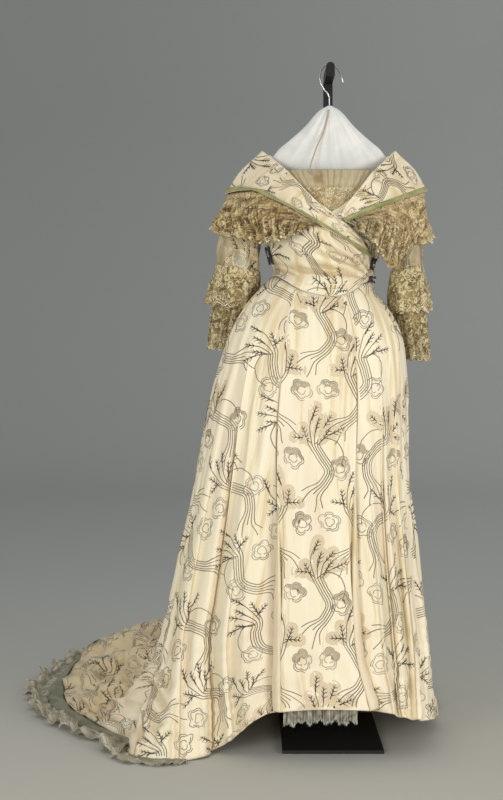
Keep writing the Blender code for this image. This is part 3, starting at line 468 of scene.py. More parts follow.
def hem_stations(start, end):
    """The stations of the skirt panels between two angles, so that the hem pieces meet them edge to edge."""
    found = np.concatenate([stations(*panel[1:]) for panel in SKIRT_PANELS[1:5]])
    found = np.unique(np.round(found, 9))
    return found[(found >= start) & (found <= end)]


def edge_out(angle):
    """The level way out from the hem."""
    e = 0.2
    along = hem(angle + e) - hem(angle - e)
    return unit(stack(-along[..., 1], along[..., 0], 0 * along[..., 0]))


def hem_edge(angle):
    """Lower edge of the skirt panels."""
    return skirt(angle, np.ones_like(angle))


def facing(angle, t):
    """The sage facing, from the hem of the silk outwards to t = 1."""
    wide = table_at(TRAIN_EDGE, 1, angle)
    start = hem_edge(angle) + edge_out(angle) * 0.0005
    down = np.minimum(start[..., 2], SILK + 0.0001)
    point = start + edge_out(angle) * (wide * t)[..., None]
    point[..., 2] = start[..., 2] + (down - start[..., 2]) * smooth(t) + 0.004 * bump(2 * t - 1)
    return point


def ruffle(angle, t):
    """The gathered ruffle of the train, from the facing's edge outwards to t = 1."""
    wide = table_at(TRAIN_EDGE, 2, angle)
    joints = hem_stations(54, 220)
    edge = facing(joints, np.ones_like(joints))
    start = np.stack([np.interp(angle, joints, edge[:, k]) for k in range(3)], axis=-1)
    start = start + edge_out(angle) * 0.0018
    turns = np.where(angle < 160, angle - 160, (angle - 160) * 0.4) * math.pi * 2 / 2.41
    swing = np.cos(turns)
    point = start + edge_out(angle) * (wide * t * (1 + 0.18 * np.sin(turns * 0.37)))[..., None]
    point[..., 2] = start[..., 2] + (0.007 + 0.007 * swing) * smooth(t * 1.6) + 0.004 * smooth(t)
    return point


def panel(bottom_edge, outer_edge, bottom, top, push):
    """A bodice panel between two edges. u crosses it, v climbs it."""
    def surface(u, v):
        low = bottom
        z_here = low + (top - low) * v
        start = bottom_edge(z_here)
        end = outer_edge(z_here)
        angle = start + (end - start) * u
        foot = waist_z(angle) + 0.0007
        z = foot + (z_here - low) * (top - foot) / (top - low)
        return bodice(angle, z, push(angle, z))
    return surface


def rail(table, u):
    """A line through the points of a table, u from 0 to 1."""
    return curve(even(0, 1, len(table) - 1), table, u)


def collar(neck, outer, rise):
    """A collar piece between its neck line and its outer edge, a little domed."""
    def surface(u, v):
        a = rail(neck, u)
        b = rail(outer, u)
        across = b - a
        mid = a + across * v[..., None]
        level = unit(stack(mid[..., 0], mid[..., 1] * 1.5, 0 * u))
        lift = rise * bump(2 * v - 1) * smooth(np.linalg.norm(across, axis=-1) / 0.06)
        return mid + (level + np.array([0, 0, 0.5])) * lift[..., None]
    return surface


def bertha(face, back, low, side, span):
    """The gathered lace from the front end of a collar round to the centre back."""
    flip = -1.0 if side < 0 else 1.0
    turn_at = 0.55

    def top(u):
        front_u = span * (1 - np.clip(u / turn_at, 0, 1))
        rear = np.clip((u - turn_at) / (1 - turn_at), 0, 1)
        rear_u = 0.5 * rear if side < 0 else 1 - 0.5 * rear
        a = moved_out(face, front_u, np.full_like(u, 0.98), -(SILK + LAYER + 0.0036), flip)
        rear_u = np.clip(rear_u, 0.001, 0.999)
        b = moved_out(back, rear_u, np.full_like(u, 0.95), -(SILK + LAYER + 0.0010), 1.0)
        mix = smooth((u - turn_at + 0.02) / 0.04)[..., None]
        return a * (1 - mix) + b * mix

    def surface(u, v):
        a = top(u)
        b = rail(low, u)
        p = a + (b - a) * v[..., None]
        level = unit(stack(p[..., 0], p[..., 1] * 1.6, 0 * u))
        wave = 0.5 + 0.5 * np.cos(u * math.pi * 2 * 17)
        calm = 1 - 0.7 * bump((u - 0.47) / 0.14) if side > 0 else 1.0
        swell = 0.009 * bump(2 * v - 1) * smooth(v * 4) + 0.013 * wave * smooth((v - 0.12) * 1.3) * calm
        return p + level * swell[..., None]
    return surface


# Small dark trims. Name, angle, z, half width in degrees, half height, lift.
ORNAMENTS = (
    ("waist_ornament_upper", -62.5, 1.128, 5.0, 0.014, 0.0049),
    ("waist_ornament_lower", -66.0, 1.090, 7.0, 0.008, 0.0082),
    ("underarm_trim", 79.0, 1.150, 8.0, 0.020, 0.0053),
)


# Pressed edges of pleats. Angle, side the pleat falls to, width, depth, height where it starts
# and where it is full. DEEP_PLEAT is the depth of the deepest.
DEEP_PLEAT = 0.0105
PLEATS = np.array([
    (44.5, 1.0, 7.0, 0.0105, 0.98, 0.60),
    (36.0, -1.0, 4.0, 0.0050, 0.62, 0.30),
    (58.0, -1.0, 6.0, 0.0060, 0.90, 0.40),
    (70.0, 1.0, 6.0, 0.0070, 0.80, 0.35),
    (-41.0, -1.0, 6.0, 0.0105, 0.98, 0.70),
    (-31.5, 1.0, 3.5, 0.0050, 0.80, 0.40),
    (-55.0, -1.0, 5.0, 0.0080, 0.90, 0.40),
    (-70.0, -1.0, 5.0, 0.0060, 0.80, 0.30),
    (100.0, 1.0, 6.0, 0.0060, 0.85, 0.30),
    (140.0, 1.0, 7.0, 0.0080, 0.95, 0.40),
    (160.0, 1.0, 7.0, 0.0080, 0.98, 0.40),
    (190.0, -1.0, 7.0, 0.0080, 0.98, 0.40),
    (222.0, -1.0, 7.0, 0.0080, 0.95, 0.40),
    (248.0, -1.0, 7.0, 0.0060, 0.90, 0.40),
])


def swell(x, y, seed, count, length):
    """Seeded waves in all directions, for cloth that is soft or crumpled. Lengths in metres."""
    rng = np.random.default_rng(seed)
    total = 0.0
    for _ in range(count):
        way, phase, other = rng.uniform(0, 2 * math.pi, 3)
        rate = 2 * math.pi / (length * rng.uniform(0.7, 1.6))
        along = (x * math.cos(way) + y * math.sin(way)) * rate
        aside = (y * math.cos(way) - x * math.sin(way)) * rate
        total = total + np.sin(along + phase + 1.4 * np.sin(aside * 0.45 + other))
    return total / math.sqrt(count)


def ridged(x, y, seed, count, length):
    """Crumples with sharp crests and soft valleys, between -1 and 1."""
    return 1 - 2 * np.minimum(np.abs(swell(x, y, seed, count, length)), 1.0)


def growth(height, start, full):
    """How far a fold has grown at a height, from 0 where it starts to 1 where it is full."""
    return smooth((start - height) / (start - full))


def lying_share(angle):
    """How much of the hem side lies on the floor at an angle, from 0 to 1."""
    reach = np.linalg.norm((hem(angle) - body(angle, np.full_like(angle, ANKLE_Z)))[..., :2], axis=-1)
    return smooth((reach - 0.09) / 0.16)


def lying_run(q):
    """0 down to the ankles and from there to 1 at the hem."""
    return np.clip((q - UPRIGHT) / (1 - UPRIGHT), 0, 1)


def skirt_height(angle, q):
    """Height of a point of the skirt before it lies down. q runs from the waist to the hem."""
    top = waist_z(angle)
    upright = top + (ANKLE_Z - top) * q / UPRIGHT
    return np.where(q < UPRIGHT, upright, ANKLE_Z * (1 - q) / (1 - UPRIGHT))


def groove_shade(angle, q):
    """How deep in a fold a point of the skirt lies, from 0 to 1, for the painted shade in the folds."""
    height = skirt_height(angle, q)
    share = np.zeros_like(angle)
    for at, half, depth, tilt, start, full in FOLDS:
        if depth > 0:
            share += depth / DEEP_FOLD * bump(turn(angle, at) / half) * growth(height, start, full)
    return np.clip(share, 0, 1)


def pleat_shade(angle, q):
    """Painted shade: a dark line under each pressed edge with a golden fall beyond it, and along the front
    panel's edges.
    """
    height = skirt_height(angle, q)
    share = np.zeros_like(angle)
    for at, side, wide, depth, start, full in PLEATS:
        x = turn(angle, at) * side
        grown = growth(height, start, full) * depth / DEEP_PLEAT
        line = 0.90 * bump((x - 0.25) / 0.45) + 0.20 * smooth(1 - x / 4.0)
        share = np.maximum(share, grown * np.where(x > 0, line, 0))
    for at in FRONT_EDGES:
        x = turn(angle, at) * np.sign(at)
        grown = smooth((1.06 - height) / 0.35)
        line = 0.95 * smooth(1.2 - x) + 0.26 * smooth(1 - x / 5)
        share = np.maximum(share, grown * np.where(x > -0.3, line, 0))
    return share


def skirt_creases(angle, q):
    """Fine relief of the skirt: pressed pleats, soft waves down it, crumples where it lies on the floor."""
    height = skirt_height(angle, q)
    run = lying_run(q)
    floor = lying_share(angle) * smooth((run - 0.15) / 0.35)
    push = np.zeros_like(angle)
    for at, side, wide, depth, start, full in PLEATS:
        x = turn(angle, at) * side
        shape = np.where(x < 0, smooth(1 + x / wide), 1 - smooth(x / 0.9))
        push += depth * shape * growth(height, start, full) * (1 - 0.6 * floor)
    x = np.radians(angle) * 0.28
    y = 1.1 - height + run * 0.5
    down = smooth((1.06 - height) / 0.30)
    push += 0.0016 * swell(x, y * 0.10, 3, 7, 0.040) * down * (1 - floor)
    push += 0.0011 * swell(x, y * 0.30, 5, 6, 0.075) * smooth((1.10 - height) / 0.05) * (1 - floor)
    beside = smooth((np.abs(turn(angle, -1)) - 26) / 8)
    push += 0.0012 * ridged(x, y, 8, 5, 0.13) * smooth((0.55 - height) / 0.3) * (1 - floor) * beside
    wide = np.radians(angle) * 0.70
    long = run * 0.62
    crumples = 0.0110 * ridged(wide, long, 11, 5, 0.17) + 0.0035 * ridged(wide, long, 13, 6, 0.07)
    push += crumples * floor
    back = smooth((np.abs(turn(angle, 150)) - 90) / -20)
    push += 0.010 * ridged(wide, long, 17, 4, 0.24) * floor * back
    return push * smooth(q / 0.02) * (1 - 0.5 * smooth((q - 0.97) / 0.03))


def moved_in_place(point, normal, push):
    """A point pushed along its normal, but never below the floor."""
    point = point + normal * push[..., None]
    point[..., 2] = np.maximum(point[..., 2], SHELL + 0.0012)
    return point


def normals_of(surface, u, v, low, high, flip):
    """Normals of a surface, found from small steps across and down."""
    e = STEP
    across = surface(u + e * 10, v) - surface(u - e * 10, v)
    along = surface(u, np.minimum(v + e, high)) - surface(u, np.maximum(v - e, low))
    return unit(np.cross(across, along)) * flip


def grid_normals(point, flip):
    """Normals of a grid of points."""
    across = np.gradient(point, axis=0)
    along = np.gradient(point, axis=1)
    return unit(np.cross(across, along)) * flip


def skirt_side(angle, q):
    """A side or back panel. Where it meets the front panel it starts deep behind that panel's edge."""
    point = skirt(angle, q)
    normal = normals_of(skirt, angle, q, 0.0, 1.0, 1.0)
    return moved_in_place(point, normal, skirt_creases(angle, q))


def skirt_front(angle, q):
    """The front panel keeps its level up to its two edges and turns under there."""
    held = np.clip(angle, *FRONT_EDGES)
    over = np.abs(angle - held)
    height = skirt_height(held, q)
    flat = np.zeros_like(held)
    for at, half, depth, tilt, start, full in FOLDS:
        if at in FRONT_EDGES:
            wave = bump(turn(held, at) / half) * growth(height, start, full)
            flat += depth * wave * smooth((half - np.abs(turn(held, at))) / half)
    point = skirt(held, q)
    normal = normals_of(skirt, held, q, 0.0, 1.0, 1.0)
    below = smooth((0.90 - height) / 0.5)
    push = skirt_creases(held, q) + flat - over * (0.010 + 0.020 * below) * smooth(over / 0.4)
    return moved_in_place(point, normal, push)


class Cloth:
    """One cut piece as a fine grid, with the size across and down at every row, in metres."""

    def __init__(self, name, surface, us, vs, flip=1.0, closed=False):
        self.name = name
        self.us = np.asarray(us, float)
        self.vs = np.asarray(vs, float)
        self.flip = flip
        self.closed = closed
        u, v = np.meshgrid(self.us, self.vs, indexing="ij")
        self.u = u
        self.v = v
        self.point = surface(u, v)
        if closed:
            self.point[-1] = self.point[0]
        self.normal = grid_normals(self.point, flip)
        if closed:
            both = unit(self.normal[0] + self.normal[-1])
            self.normal[0] = both
            self.normal[-1] = both
        gaps = np.linalg.norm(np.diff(self.point, axis=0), axis=-1)
        run = np.concatenate([np.zeros((1, len(self.vs))), np.cumsum(gaps, axis=0)])
        across = run[-1]
        down = np.linalg.norm(np.diff(self.point, axis=1), axis=-1)
        middle = down[len(self.us) // 2]
        self.down = np.concatenate([[0.0], np.cumsum(middle)])
        self.x = run - across / 2
        self.y = np.broadcast_to(self.down[None, :], u.shape)
        self.width = float(across.max())
        self.length = float(down.sum(axis=1).max())
        a, b, c, d = self.point[:-1, :-1], self.point[1:, :-1], self.point[1:, 1:], self.point[:-1, 1:]
        first = np.linalg.norm(np.cross(b - a, c - a), axis=-1)
        second = np.linalg.norm(np.cross(c - a, d - a), axis=-1)
        self.area = float((first + second).sum() / 2)

    def valleys(self, reach, depth):
        """How deep each point lies below its neighbours, from 0 to 1."""
        share = np.zeros(self.u.shape)
        for axis in (0, 1):
            n = self.u.shape[axis]
            at = np.arange(n)
            step = min(reach, n // 4)
            before = np.take(self.point, np.clip(at - step, 0, n - 1), axis=axis)
            after = np.take(self.point, np.clip(at + step, 0, n - 1), axis=axis)
            rise = np.sum(((before + after) / 2 - self.point) * self.normal, axis=-1)
            inside = np.minimum(at, n - 1 - at) >= step
            share += np.clip(rise / depth, 0, 1) * (inside[:, None] if axis == 0 else inside[None, :])
        return np.clip(share, 0, 1)

    def build(self, paint, thick=SHELL, shade=0.0):
        """The shell: an outer face, an inner face one thickness behind it, and a rim."""
        nu, nv = self.u.shape
        if self.closed:
            nu -= 1
        point = self.point[:nu].copy()
        inner = point - self.normal[:nu] * thick
        index = np.arange(nu * nv).reshape(nu, nv)
        nxt = np.roll(index, -1, axis=0) if self.closed else index[1:]
        here = index if self.closed else index[:-1]
        quads = np.stack([here[:, :-1], nxt[:, :-1], nxt[:, 1:], here[:, 1:]], axis=-1).reshape(-1, 4)
        edges = [(nxt[:, 0], here[:, 0]), (here[:, -1], nxt[:, -1])]
        if not self.closed:
            edges += [(index[0, :-1], index[0, 1:]), (index[-1, 1:], index[-1, :-1])]
        rims = [np.stack([a, b, b + nu * nv, a + nu * nv], axis=-1) for a, b in edges]
        faces = np.concatenate([quads, quads[:, ::-1] + nu * nv] + rims)
        if self.flip < 0:
            faces = faces[:, ::-1]
        flat = np.stack([self.x[:nu], self.y[:nu]], axis=-1).reshape(-1, 2)
        flat = np.concatenate([flat, flat])
        both = np.concatenate([point.reshape(-1, 3), inner.reshape(-1, 3)])
        made = mesh_piece(self.name + "_cloth", both, faces, paint, flat)
        # The shade attribute carries painted shade, read by the paints that darken folds with it.
        values = np.broadcast_to(shade, self.u.shape)[:nu].reshape(-1)
        layer = made.data.attributes.new("shade", "FLOAT", "POINT")
        layer.data.foreach_set("value", np.concatenate([values, values]))
        return made

    def on(self, x, y, lift):
        """Points on the cloth at x across and y down, and whether they lie on it."""
        row = np.interp(y, self.down, np.arange(len(self.vs)), left=-1, right=-1)
        inside = row >= 0
        row = np.clip(row, 0, len(self.vs) - 1.001)
        j = row.astype(int)
        t = row - j
        at = np.arange(len(self.us))
        both = []
        for rows in (j, j + 1):
            columns = [np.interp(a, self.x[:, k], at, left=-1, right=-1) for a, k in zip(x.flat, rows.flat)]
            both.append(np.reshape(columns, x.shape))
        inside &= (both[0] >= 0) & (both[1] >= 0)
        column = np.clip(both[0] * (1 - t) + both[1] * t, 0, len(self.us) - 1.001)
        i = column.astype(int)
        s = (column - i)[..., None]
        t = t[..., None]
        spots = []
        for grid in (self.point, self.normal):
            low = grid[i, j] * (1 - s) + grid[i + 1, j] * s
            high = grid[i, j + 1] * (1 - s) + grid[i + 1, j + 1] * s
            spots.append(low * (1 - t) + high * t)
        return spots[0] + unit(spots[1]) * lift, inside


def tube_quads(rows, count):
    """Faces of a tube of rows, each with count points round it."""
    index = np.arange(rows * count).reshape(rows, count)
    nxt = np.roll(index, -1, axis=1)
    return np.stack([index[:-1], nxt[:-1], nxt[1:], index[1:]], axis=-1).reshape(-1, 4)


def strip_quads(k):
    """Faces of a strip whose points come in pairs. k are the pairs that go on to the next one."""
    return np.stack([2 * k, 2 * k + 1, 2 * k + 3, 2 * k + 2], axis=1)


def mesh_piece(name, points, faces, paint, flat=None):
    """A named mesh in the scene. flat gives each point's place on the cut cloth."""
    mesh = bpy.data.meshes.new(name)
    points = np.asarray(points, float)
    faces = np.asarray(faces)
    mesh.vertices.add(len(points))
    mesh.vertices.foreach_set("co", points.reshape(-1))
    size = faces.shape[1]
    mesh.loops.add(faces.size)
    mesh.loops.foreach_set("vertex_index", faces.reshape(-1).astype(np.int32))
    mesh.polygons.add(len(faces))
    mesh.polygons.foreach_set("loop_start", (np.arange(len(faces)) * size).astype(np.int32))
    mesh.update(calc_edges=True)
    mesh.polygons.foreach_set("use_smooth", np.ones(len(faces), bool))
    if flat is not None:
        layer = mesh.uv_layers.new(name="cut")
        layer.data.foreach_set("uv", flat[faces.reshape(-1)].reshape(-1))
    mesh.materials.append(paint)
    mesh.validate()
    made = bpy.data.objects.new(name, mesh)
    bpy.context.scene.collection.objects.link(made)
    return made


class Threads:
    """Many narrow ribbons, dots and patches laid on cloth, joined in one mesh for each paint."""

    def __init__(self, name, paint):
        self.name = name
        self.paint = paint
        self.points = []
        self.faces = []
        self.count = 0

    def ribbon(self, cloth, line, width, lift=THREAD_LIFT, step=0.0045):
        """A flat thread along a line on the cloth. width is one number or one for each end."""
        line = np.asarray(line, float)
        gaps = np.linalg.norm(np.diff(line, axis=0), axis=1)
        total = np.concatenate([[0.0], np.cumsum(gaps)])
        if total[-1] < 1e-5:
            return
        n = max(2, int(math.ceil(total[-1] / step)) + 1)
        at = np.linspace(0, total[-1], n)
        x = np.interp(at, total, line[:, 0])
        y = np.interp(at, total, line[:, 1])
        way = np.stack([np.gradient(x), np.gradient(y)], axis=1)
        way /= np.maximum(np.linalg.norm(way, axis=1, keepdims=True), 1e-9)
        half = np.broadcast_to(np.asarray(width, float), (n,)) / 2 if np.ndim(width) == 0 else \
            np.interp(at, total, np.asarray(width, float)) / 2
        one, ok_one = cloth.on(x - way[:, 1] * half, y + way[:, 0] * half, lift)
        two, ok_two = cloth.on(x + way[:, 1] * half, y - way[:, 0] * half, lift)
        good = ok_one & ok_two
        good &= ~((self.jump(one)) | (self.jump(two)))
        pair = good[:-1] & good[1:]
        if pair.sum() < min(4, n - 1):
            return
        base = self.count
        self.points.append(np.stack([one, two], axis=1).reshape(-1, 3))
        self.count += 2 * n
        k = np.nonzero(pair)[0]
        quads = base + strip_quads(k)
        self.faces.append(quads if cloth.flip > 0 else quads[:, ::-1])

    @staticmethod
    def jump(points):
        """Where a line would leap from one fold to another."""
        gap = np.linalg.norm(np.diff(points, axis=0), axis=1)
        far = np.zeros(len(points), bool)
        far[1:] |= gap > 0.03
        return far

    def patch(self, cloth, centre, outline, lift, rings=3):
        """A filled shape round a centre, in rings that follow the cloth."""
        outline = np.asarray(outline, float)
        n = len(outline)
        spread = np.linspace(0.15, 1.0, rings)
        x = centre[0] + outline[None, :, 0] * spread[:, None]
        y = centre[1] + outline[None, :, 1] * spread[:, None]
        spot, ok = cloth.on(x, y, lift)
        base = self.count
        self.points.append(spot.reshape(-1, 3))
        self.count += rings * n
        quads = tube_quads(rings, n)
        okay = ok.reshape(-1)[quads].all(axis=1)
        spots = spot.reshape(-1, 3)[quads]
        near = np.linalg.norm(spots - np.roll(spots, 1, axis=1), axis=-1).max(axis=1) < 0.04
        quads = quads[okay & near] + base
        self.faces.append(quads if cloth.flip < 0 else quads[:, ::-1])

    def raw(self, points, faces):
        """Adds ready points and faces."""
        self.points.append(np.asarray(points, float))
        self.faces.append(np.asarray(faces) + self.count)
        self.count += len(points)

    def build(self):
        points = np.concatenate(self.points)
        faces = np.concatenate([f for f in self.faces if len(f)])
        used = np.zeros(len(points), bool)
        used[faces.reshape(-1)] = True
        order = np.cumsum(used) - 1
        return mesh_piece(self.name, points[used], order[faces], self.paint)


def round_points(a):
    """Points of a circle of radius 1 at some angles."""
    return np.stack([np.cos(a), np.sin(a)], axis=1)


def ring_of(count):
    """Evenly spaced points of a circle of radius 1."""
    return round_points(np.linspace(0, 2 * math.pi, count + 1)[:-1])


def rotated(points, angle):
    """Points of a plane, turned by an angle."""
    c, s = math.cos(angle), math.sin(angle)
    return np.stack([points[:, 0] * c - points[:, 1] * s, points[:, 0] * s + points[:, 1] * c], axis=1)


def wound(points, n=40):
    """A smooth line through a few points."""
    points = np.asarray(points, float)
    return curve(np.linspace(0, 1, len(points)), points, np.linspace(0, 1, n))


def blossom(rng, size):
    """An open flower: an angular five-lobed outline, a second inside it, broken petal lines and dots."""
    start = rng.uniform(0, 2 * math.pi)
    a = np.linspace(0, 2 * math.pi, 36)
    lobes = np.abs(np.cos(2.5 * a + start)) ** 0.55
    uneven = 1 + 0.10 * np.sin(a * 2 + start * 3) + rng.normal(0, 0.020, 36)
    radius = size * (0.66 + 0.34 * lobes) * uneven
    radius[-1] = radius[0]
    outer = np.stack([radius * np.cos(a), radius * np.sin(a)], axis=1)
    lines = [outer[:29], outer[31:], outer[4:] * 0.80]
    for turn_by in (0.4, 2.3, 4.1):
        b = np.linspace(-1.3, 1.5, 10)
        arc = np.stack([np.cos(b) * 0.9, np.sin(b)], axis=1) * size * 0.27
        c, s = math.cos(start + turn_by), math.sin(start + turn_by)
        lines.append(np.array([c, s]) * size * 0.20 + rotated(arc, start + turn_by))
    dots = [(size * 0.36 * math.cos(start + g), size * 0.36 * math.sin(start + g)) for g in (1.4, 3.2, 5.2)]
    wedge = np.concatenate([outer[3:20:2] * 0.97, outer[19:2:-3] * 0.30])
    return lines, dots, wedge


def twig(tip, way):
    """The dark budded end of a stalk: a spine and pairs of thorns."""
    way = np.asarray(way, float) / np.linalg.norm(way)
    side = np.array([-way[1], way[0]])
    lines = [np.array([tip - way * 0.030, tip + way * 0.008])]
    for back, size in ((0.020, 0.0088), (0.010, 0.0088), (0.001, 0.0066)):
        root = tip - way * back
        for hand in (-1, 1):
            lines.append(np.array([root, root + (way * 0.85 + side * hand * (0.75 + 0.2 * hand)) * size]))
    return lines


# Middle line of a plant's bundle of stalks, in metres, from the roots up.
SPINE = np.array([
    (0.046, -0.112), (0.030, -0.082), (-0.002, -0.056), (-0.018, -0.024),
    (-0.002, 0.010), (0.016, 0.040), (0.010, 0.072), (-0.008, 0.108),
])
CURL = np.array([(0.014, 0.034), (-0.010, 0.048), (-0.040, 0.036), (-0.052, 0.006), (-0.044, -0.020)])


def spray(rng):
    """One plant of the woven figure: stalks side by side in a slow bend, twigs above and two flowers."""
    middle = wound(SPINE + rng.normal(0, 0.0015, SPINE.shape), 60)
    way = unit(np.gradient(middle, axis=0))
    side = np.stack([way[:, 1], -way[:, 0]], axis=1)
    at = np.linspace(0, 1, 60)
    spread = 1 + 2.4 * smooth((0.26 - at) / 0.26) + 2.9 * smooth((at - 0.64) / 0.36)
    stalks = []
    heads = []
    for k, (first, last) in zip(range(-2, 3), ((4, 52), (0, 59), (9, 56), (2, 60), (7, 50))):
        line = middle + side * (0.0054 * k * spread * (1 + 0.05 * rng.normal()))[:, None]
        stalks.append(line[first:last])
        heads.append((line[last - 1], line[last - 1] - line[last - 9]))
    for k, aside in ((1, (0.056, 0.050)), (0, (-0.050, 0.066))):
        fork = stalks[3 if k else 1][40]
        aside = np.array(aside)
        stalks.append(wound([fork, (fork * 0.5 + aside * 0.5) + np.array([0, 0.006]), aside], 14))
        heads.append((aside, aside - fork + np.array([0, -0.010])))
    stalks.append(wound(CURL, 30))
    flowers = [(np.array([-0.042, -0.024]), 0.0265), (np.array([0.064, 0.004]), 0.0250)]
    return stalks, heads, flowers


def place(points, at, angle, mirror, scale):
    """Points of a plant, laid on the cut cloth at a spot and an angle."""
    return rotated(np.atleast_2d(points) * scale * np.array([mirror, -1.0]), angle) + at


def weave_figure(cloth, seed, lean=0.0, shift=(0.0, 0.0), halo=0.0, scale=1.0, spacing=(0.190, 0.152)):
    """The woven figure over one cut piece, in a half drop. halo is the share of it backed by tan ground."""
    rng = np.random.default_rng(seed)
    wide, tall = cloth.width / 2 + 0.15, cloth.length + 0.15
    reach = max(wide, tall) * 1.5
    across, drop = spacing[0] * scale, spacing[1] * scale
    round_way = np.linspace(0, 2 * math.pi, 15)[:-1]
    circle = round_points(round_way)
    for r in range(-int(reach / drop) - 2, int(reach / drop) + 3):
        for c in range(-int(reach / across) - 2, int(reach / across) + 3):
            x = c * across + (0.5 * across if r % 2 else 0.0) + shift[0] + (0.010 if r % 2 else -0.010)
            y = r * drop + shift[1]
            spot = rotated(np.array([[x, y]]), lean)[0]
            if abs(spot[0]) > wide or not -0.15 < spot[1] < tall:
                continue
            look = (spot, lean + rng.normal(0, 0.06), -1.0 if (r + c) % 2 else 1.0, scale)
            stalks, heads, flowers = spray(rng)
            for line in stalks:
                tendrils.ribbon(cloth, place(line, *look), 0.00185 * rng.uniform(0.85, 1.1))
            tan = rng.uniform() < halo
            for tip, way in heads:
                for line in twig(tip, way):
                    twigs.ribbon(cloth, place(line, *look), np.array([0.0020, 0.0009]), THREAD_LIFT * 1.2)
                if tan:
                    turned = math.atan2(way[0], way[1])
                    leaf = circle * np.array([0.015, 0.030]) * (1 + 0.10 * np.sin(3 * round_way))[:, None]
                    leaf = place(leaf, np.zeros(2), turned, 1.0, 1.0) * np.array([1.0, -1.0])
                    shape = place(leaf + tip - way / np.linalg.norm(way) * 0.010, *look)
                    halos.patch(cloth, shape.mean(axis=0), shape - shape.mean(axis=0), THREAD_LIFT * 0.5)
            for middle, size in flowers:
                lines, dots, wedge = blossom(rng, size)
                for line in lines:
                    petals.ribbon(cloth, place(line + middle, *look), 0.0018, THREAD_LIFT * 1.1)
                if tan:
                    shape = place(wedge + middle, *look)
                    shadows.patch(cloth, shape.mean(axis=0), shape - shape.mean(axis=0), THREAD_LIFT * 0.7)
                for dot in dots:
                    shape = place(np.array([dot]) + middle, *look)[0]
                    petals.patch(cloth, shape, circle[::3] * 0.0015, THREAD_LIFT * 1.1, rings=2)


class Number:
    """A socket of a shader, so that masks are written as sums and products."""

    def __init__(self, paint, socket):
        self.paint = paint
        self.socket = socket

    def sum_of(self, how, *others, clamp=False):
        values = [self] + list(others)
        settings = {"operation": how, "use_clamp": clamp}
        return self.paint.node("ShaderNodeMath", settings, dict(enumerate(values)))

    def __add__(self, other):
        return self.sum_of("ADD", other)

    __radd__ = __add__

    def __mul__(self, other):
        return self.sum_of("MULTIPLY", other)

    __rmul__ = __mul__

    def __sub__(self, other):
        return self.sum_of("SUBTRACT", other)

    def __rsub__(self, other):
        return self.paint.node("ShaderNodeMath", {"operation": "SUBTRACT"}, {0: other, 1: self})

    def __truediv__(self, other):
        return self.sum_of("DIVIDE", other)

    def __pow__(self, other):
        return self.sum_of("POWER", other)

    def clipped(self):
        return self.sum_of("ADD", 0.0, clamp=True)

    def size(self):
        return self.sum_of("ABSOLUTE")

    def between(self, low, high):
        """0 below low, 1 above high and smooth between them."""
        return self.paint.node("ShaderNodeMapRange", {"interpolation_type": "SMOOTHSTEP"},
                               {"Value": self, "From Min": low, "From Max": high})


class Paint:
    """A material with a Principled shader, built from expressions."""

    def __init__(self, name, colour, roughness, metallic=0.0, sheen=0.0, specular=0.5):
        self.material = bpy.data.materials.new(name)
        self.material.use_nodes = True
        self.tree = self.material.node_tree
        self.shader = self.tree.nodes["Principled BSDF"]
        self.set("Base Color", (*colour, 1.0))
        self.set("Roughness", roughness)
        self.set("Metallic", metallic)
        self.set("Specular IOR Level", specular)
        if sheen:
            self.set("Sheen Weight", sheen)
            self.set("Sheen Roughness", 0.45)
        self.material.diffuse_color = (*colour, 1.0)

    def plug(self, socket, value):
        """Links a socket to another one, or gives it a plain value."""
        if isinstance(value, Number):
            self.tree.links.new(value.socket, socket)
        else:
            socket.default_value = value

    def set(self, name, value):
        self.plug(self.shader.inputs[name], value)

    def node(self, kind, settings=None, inputs=None, output=0):
        made = self.tree.nodes.new(kind)
        for key, value in (settings or {}).items():
            setattr(made, key, value)
        for key, value in (inputs or {}).items():
            self.plug(made.inputs[key], value)
        return Number(self, made.outputs[output])

    def cut(self):
        """The place on the cut cloth, in metres."""
        return self.node("ShaderNodeUVMap", {"uv_map": "cut"})

    def solid(self):
        """The place on the whole object, in metres."""
        return self.node("ShaderNodeTexCoord", output="Object")

    def stretched(self, place, x, y, z=1.0):
        return self.node("ShaderNodeVectorMath", {"operation": "MULTIPLY"}, {0: place, 1: (x, y, z)})

    def noise(self, place, scale=1.0, detail=3.0, rough=0.5, bend=0.0):
        return self.node("ShaderNodeTexNoise", {}, {"Vector": place, "Scale": scale, "Detail": detail,
                                                    "Roughness": rough, "Distortion": bend})

    def streaks(self, place, stretch, *look):
        """Noise stretched by a rate for each direction."""
        return self.noise(self.stretched(place, *stretch), 1.0, *look)

    def cells(self, place, scale, feature="F1", random=1.0):
        return self.node("ShaderNodeTexVoronoi", {"feature": feature},
                         {"Vector": place, "Scale": scale, "Randomness": random})

    def shade(self):
        return self.node("ShaderNodeAttribute", {"attribute_name": "shade"}, output="Fac")

    def mix(self, mask, one, two):
        """Colour one where the mask is 0, colour two where it is 1."""
        one, two = (c if isinstance(c, Number) else (*c, 1.0) for c in (one, two))
        return self.node("ShaderNodeMix", {"data_type": "RGBA"}, {0: mask, 6: one, 7: two}, output=2)

    def bump(self, height, distance, strength=1.0):
        relief = {"Height": height, "Distance": distance, "Strength": strength}
        self.set("Normal", self.node("ShaderNodeBump", {}, relief))


# Colours of the silk, from its lights, which include painted sheen, to the painted shade in its folds.
CREAM = (0.870, 0.775, 0.560)
SHEEN_AND_MOIRE_LIGHT = (0.920, 0.850, 0.650)
MOIRE_AND_SHADE_GOLD = (0.660, 0.475, 0.200)
FOLD_SHADE_UMBER = (0.510, 0.365, 0.155)
PINK = (0.820, 0.660, 0.510)
FOLD_SHADE_BROWN = (0.200, 0.105, 0.030)


